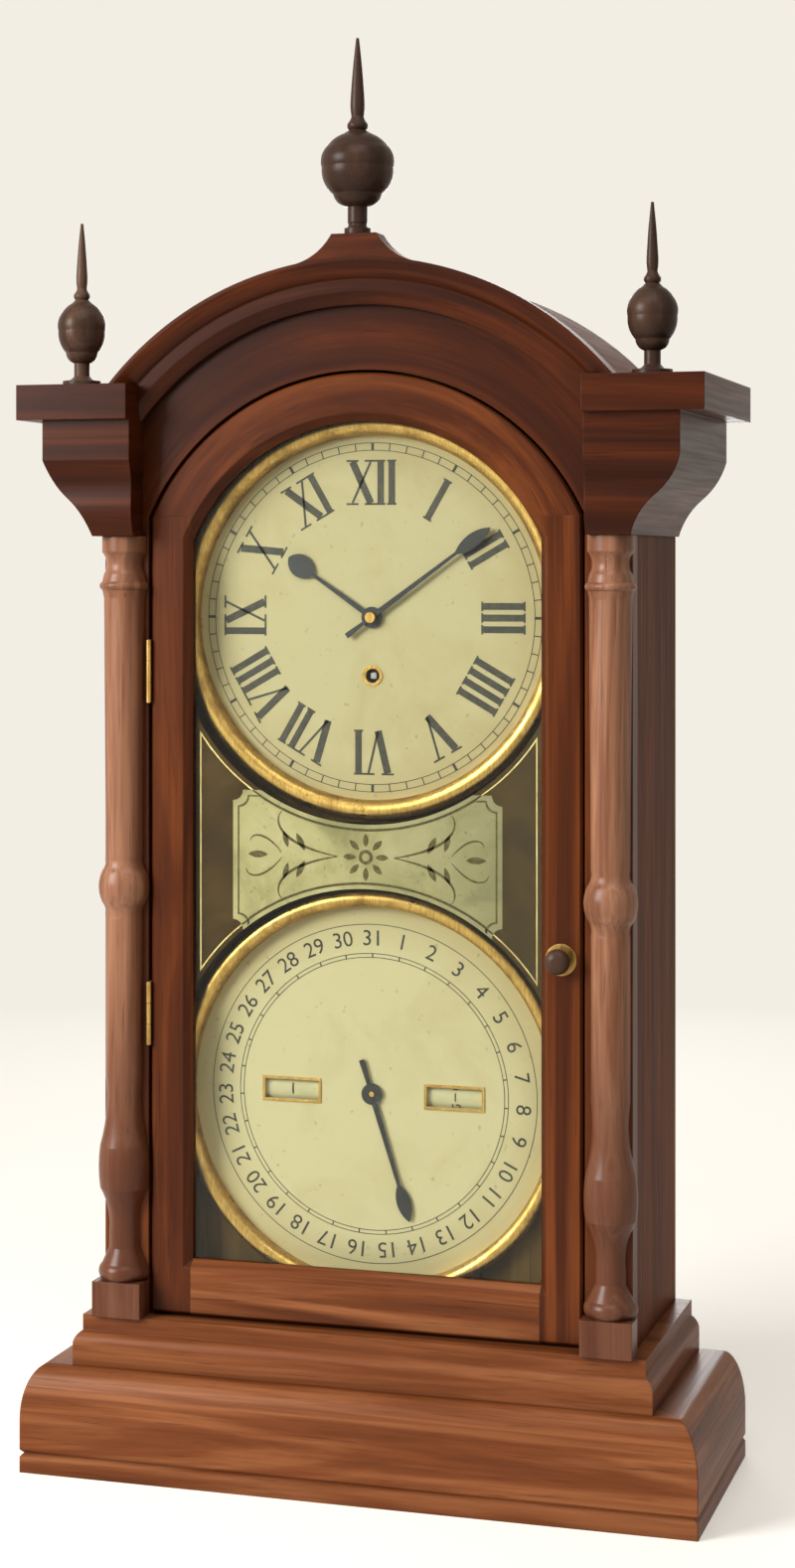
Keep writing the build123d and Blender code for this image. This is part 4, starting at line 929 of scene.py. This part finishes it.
def makeFloor():
    shape = bmesh.new()
    bmesh.ops.create_circle(shape, cap_ends=True, segments=studio["floorSteps"], radius=studio["floorReach"])
    mesh = bpy.data.meshes.new("studioFloor")
    shape.to_mesh(mesh)
    shape.free()
    floor = bpy.data.objects.new("studioFloor", mesh)
    bpy.context.scene.collection.objects.link(floor)
    material, tree, shader = startMaterial("studioPaper")
    spot = objectSpace(tree)
    grain = noise(tree, spot, *studio["paperNoise"])
    colour = ramp(tree, grain, list(zip(studio["paperStops"], studio["paper"])))
    feed(tree, shader.inputs["Base Color"], colour)
    shader.inputs["Roughness"].default_value = studio["roughness"]
    shader.inputs["Specular IOR Level"].default_value = studio["specular"]
    shader.inputs["Emission Color"].default_value = studio["paper"][1]
    seen = seenDirectly(tree)
    feed(tree, shader.inputs["Emission Strength"], calc(tree, "MULTIPLY", seen, studio["glow"]))
    away = tree.nodes.new("ShaderNodeVectorMath")
    away.operation = "LENGTH"
    feed(tree, away.inputs[0], spot)
    haze = tree.nodes.new("ShaderNodeEmission")
    haze.inputs["Color"].default_value = studio["far"]
    feed(tree, haze.inputs["Strength"], seen)
    choose = tree.nodes.new("ShaderNodeMixShader")
    feed(tree, choose.inputs[0], span(tree, away.outputs["Value"], studio["fadeStart"], studio["fadeEnd"]))
    tree.links.new(shader.outputs[0], choose.inputs[1])
    tree.links.new(haze.outputs[0], choose.inputs[2])
    tree.links.new(choose.outputs[0], tree.nodes["Material Output"].inputs["Surface"])
    dress(floor, material)


makeFloor()

lamps = {
    "keyBox": {"place": (-1.55, -1.65, 1.15), "aim": (0.0, 0.0, 0.30), "size": 1.1, "power": 63.0},
    "topBox": {"place": (0.25, -1.00, 2.10), "aim": (0.0, -0.05, 0.30), "size": 1.3, "power": 13.0},
    "fillBox": {"place": (1.60, -1.70, 1.10), "aim": (0.0, 0.0, 0.40), "size": 1.4, "power": 2.5},
    "backBox": {"place": (-0.50, 2.20, 0.75), "aim": (0.0, 0.0, 0.40), "size": 1.0, "power": 18.0},
}
for name, look in lamps.items():
    lamp = bpy.data.objects.new(name, bpy.data.lights.new(name, "AREA"))
    bpy.context.scene.collection.objects.link(lamp)
    lamp.location = look["place"]
    lamp.rotation_euler = (Vector(look["aim"]) - Vector(look["place"])).to_track_quat("-Z", "Y").to_euler()
    lamp.data.size = look["size"]
    lamp.data.energy = look["power"]

world = bpy.data.worlds.new("studioSky")
bpy.context.scene.world = world
world.use_nodes = True
skyTree = world.node_tree
sky = skyTree.nodes["Background"]
skySeen = seenDirectly(skyTree)
feed(skyTree, sky.inputs["Color"], blendColour(skyTree, skySeen, studio["light"], studio["far"]))
feed(skyTree, sky.inputs["Strength"], span(skyTree, skySeen, 0.0, 1.0, studio["sky"], 1.0))
bpy.context.scene.view_settings.view_transform = "Standard"
print("camera and studio done")
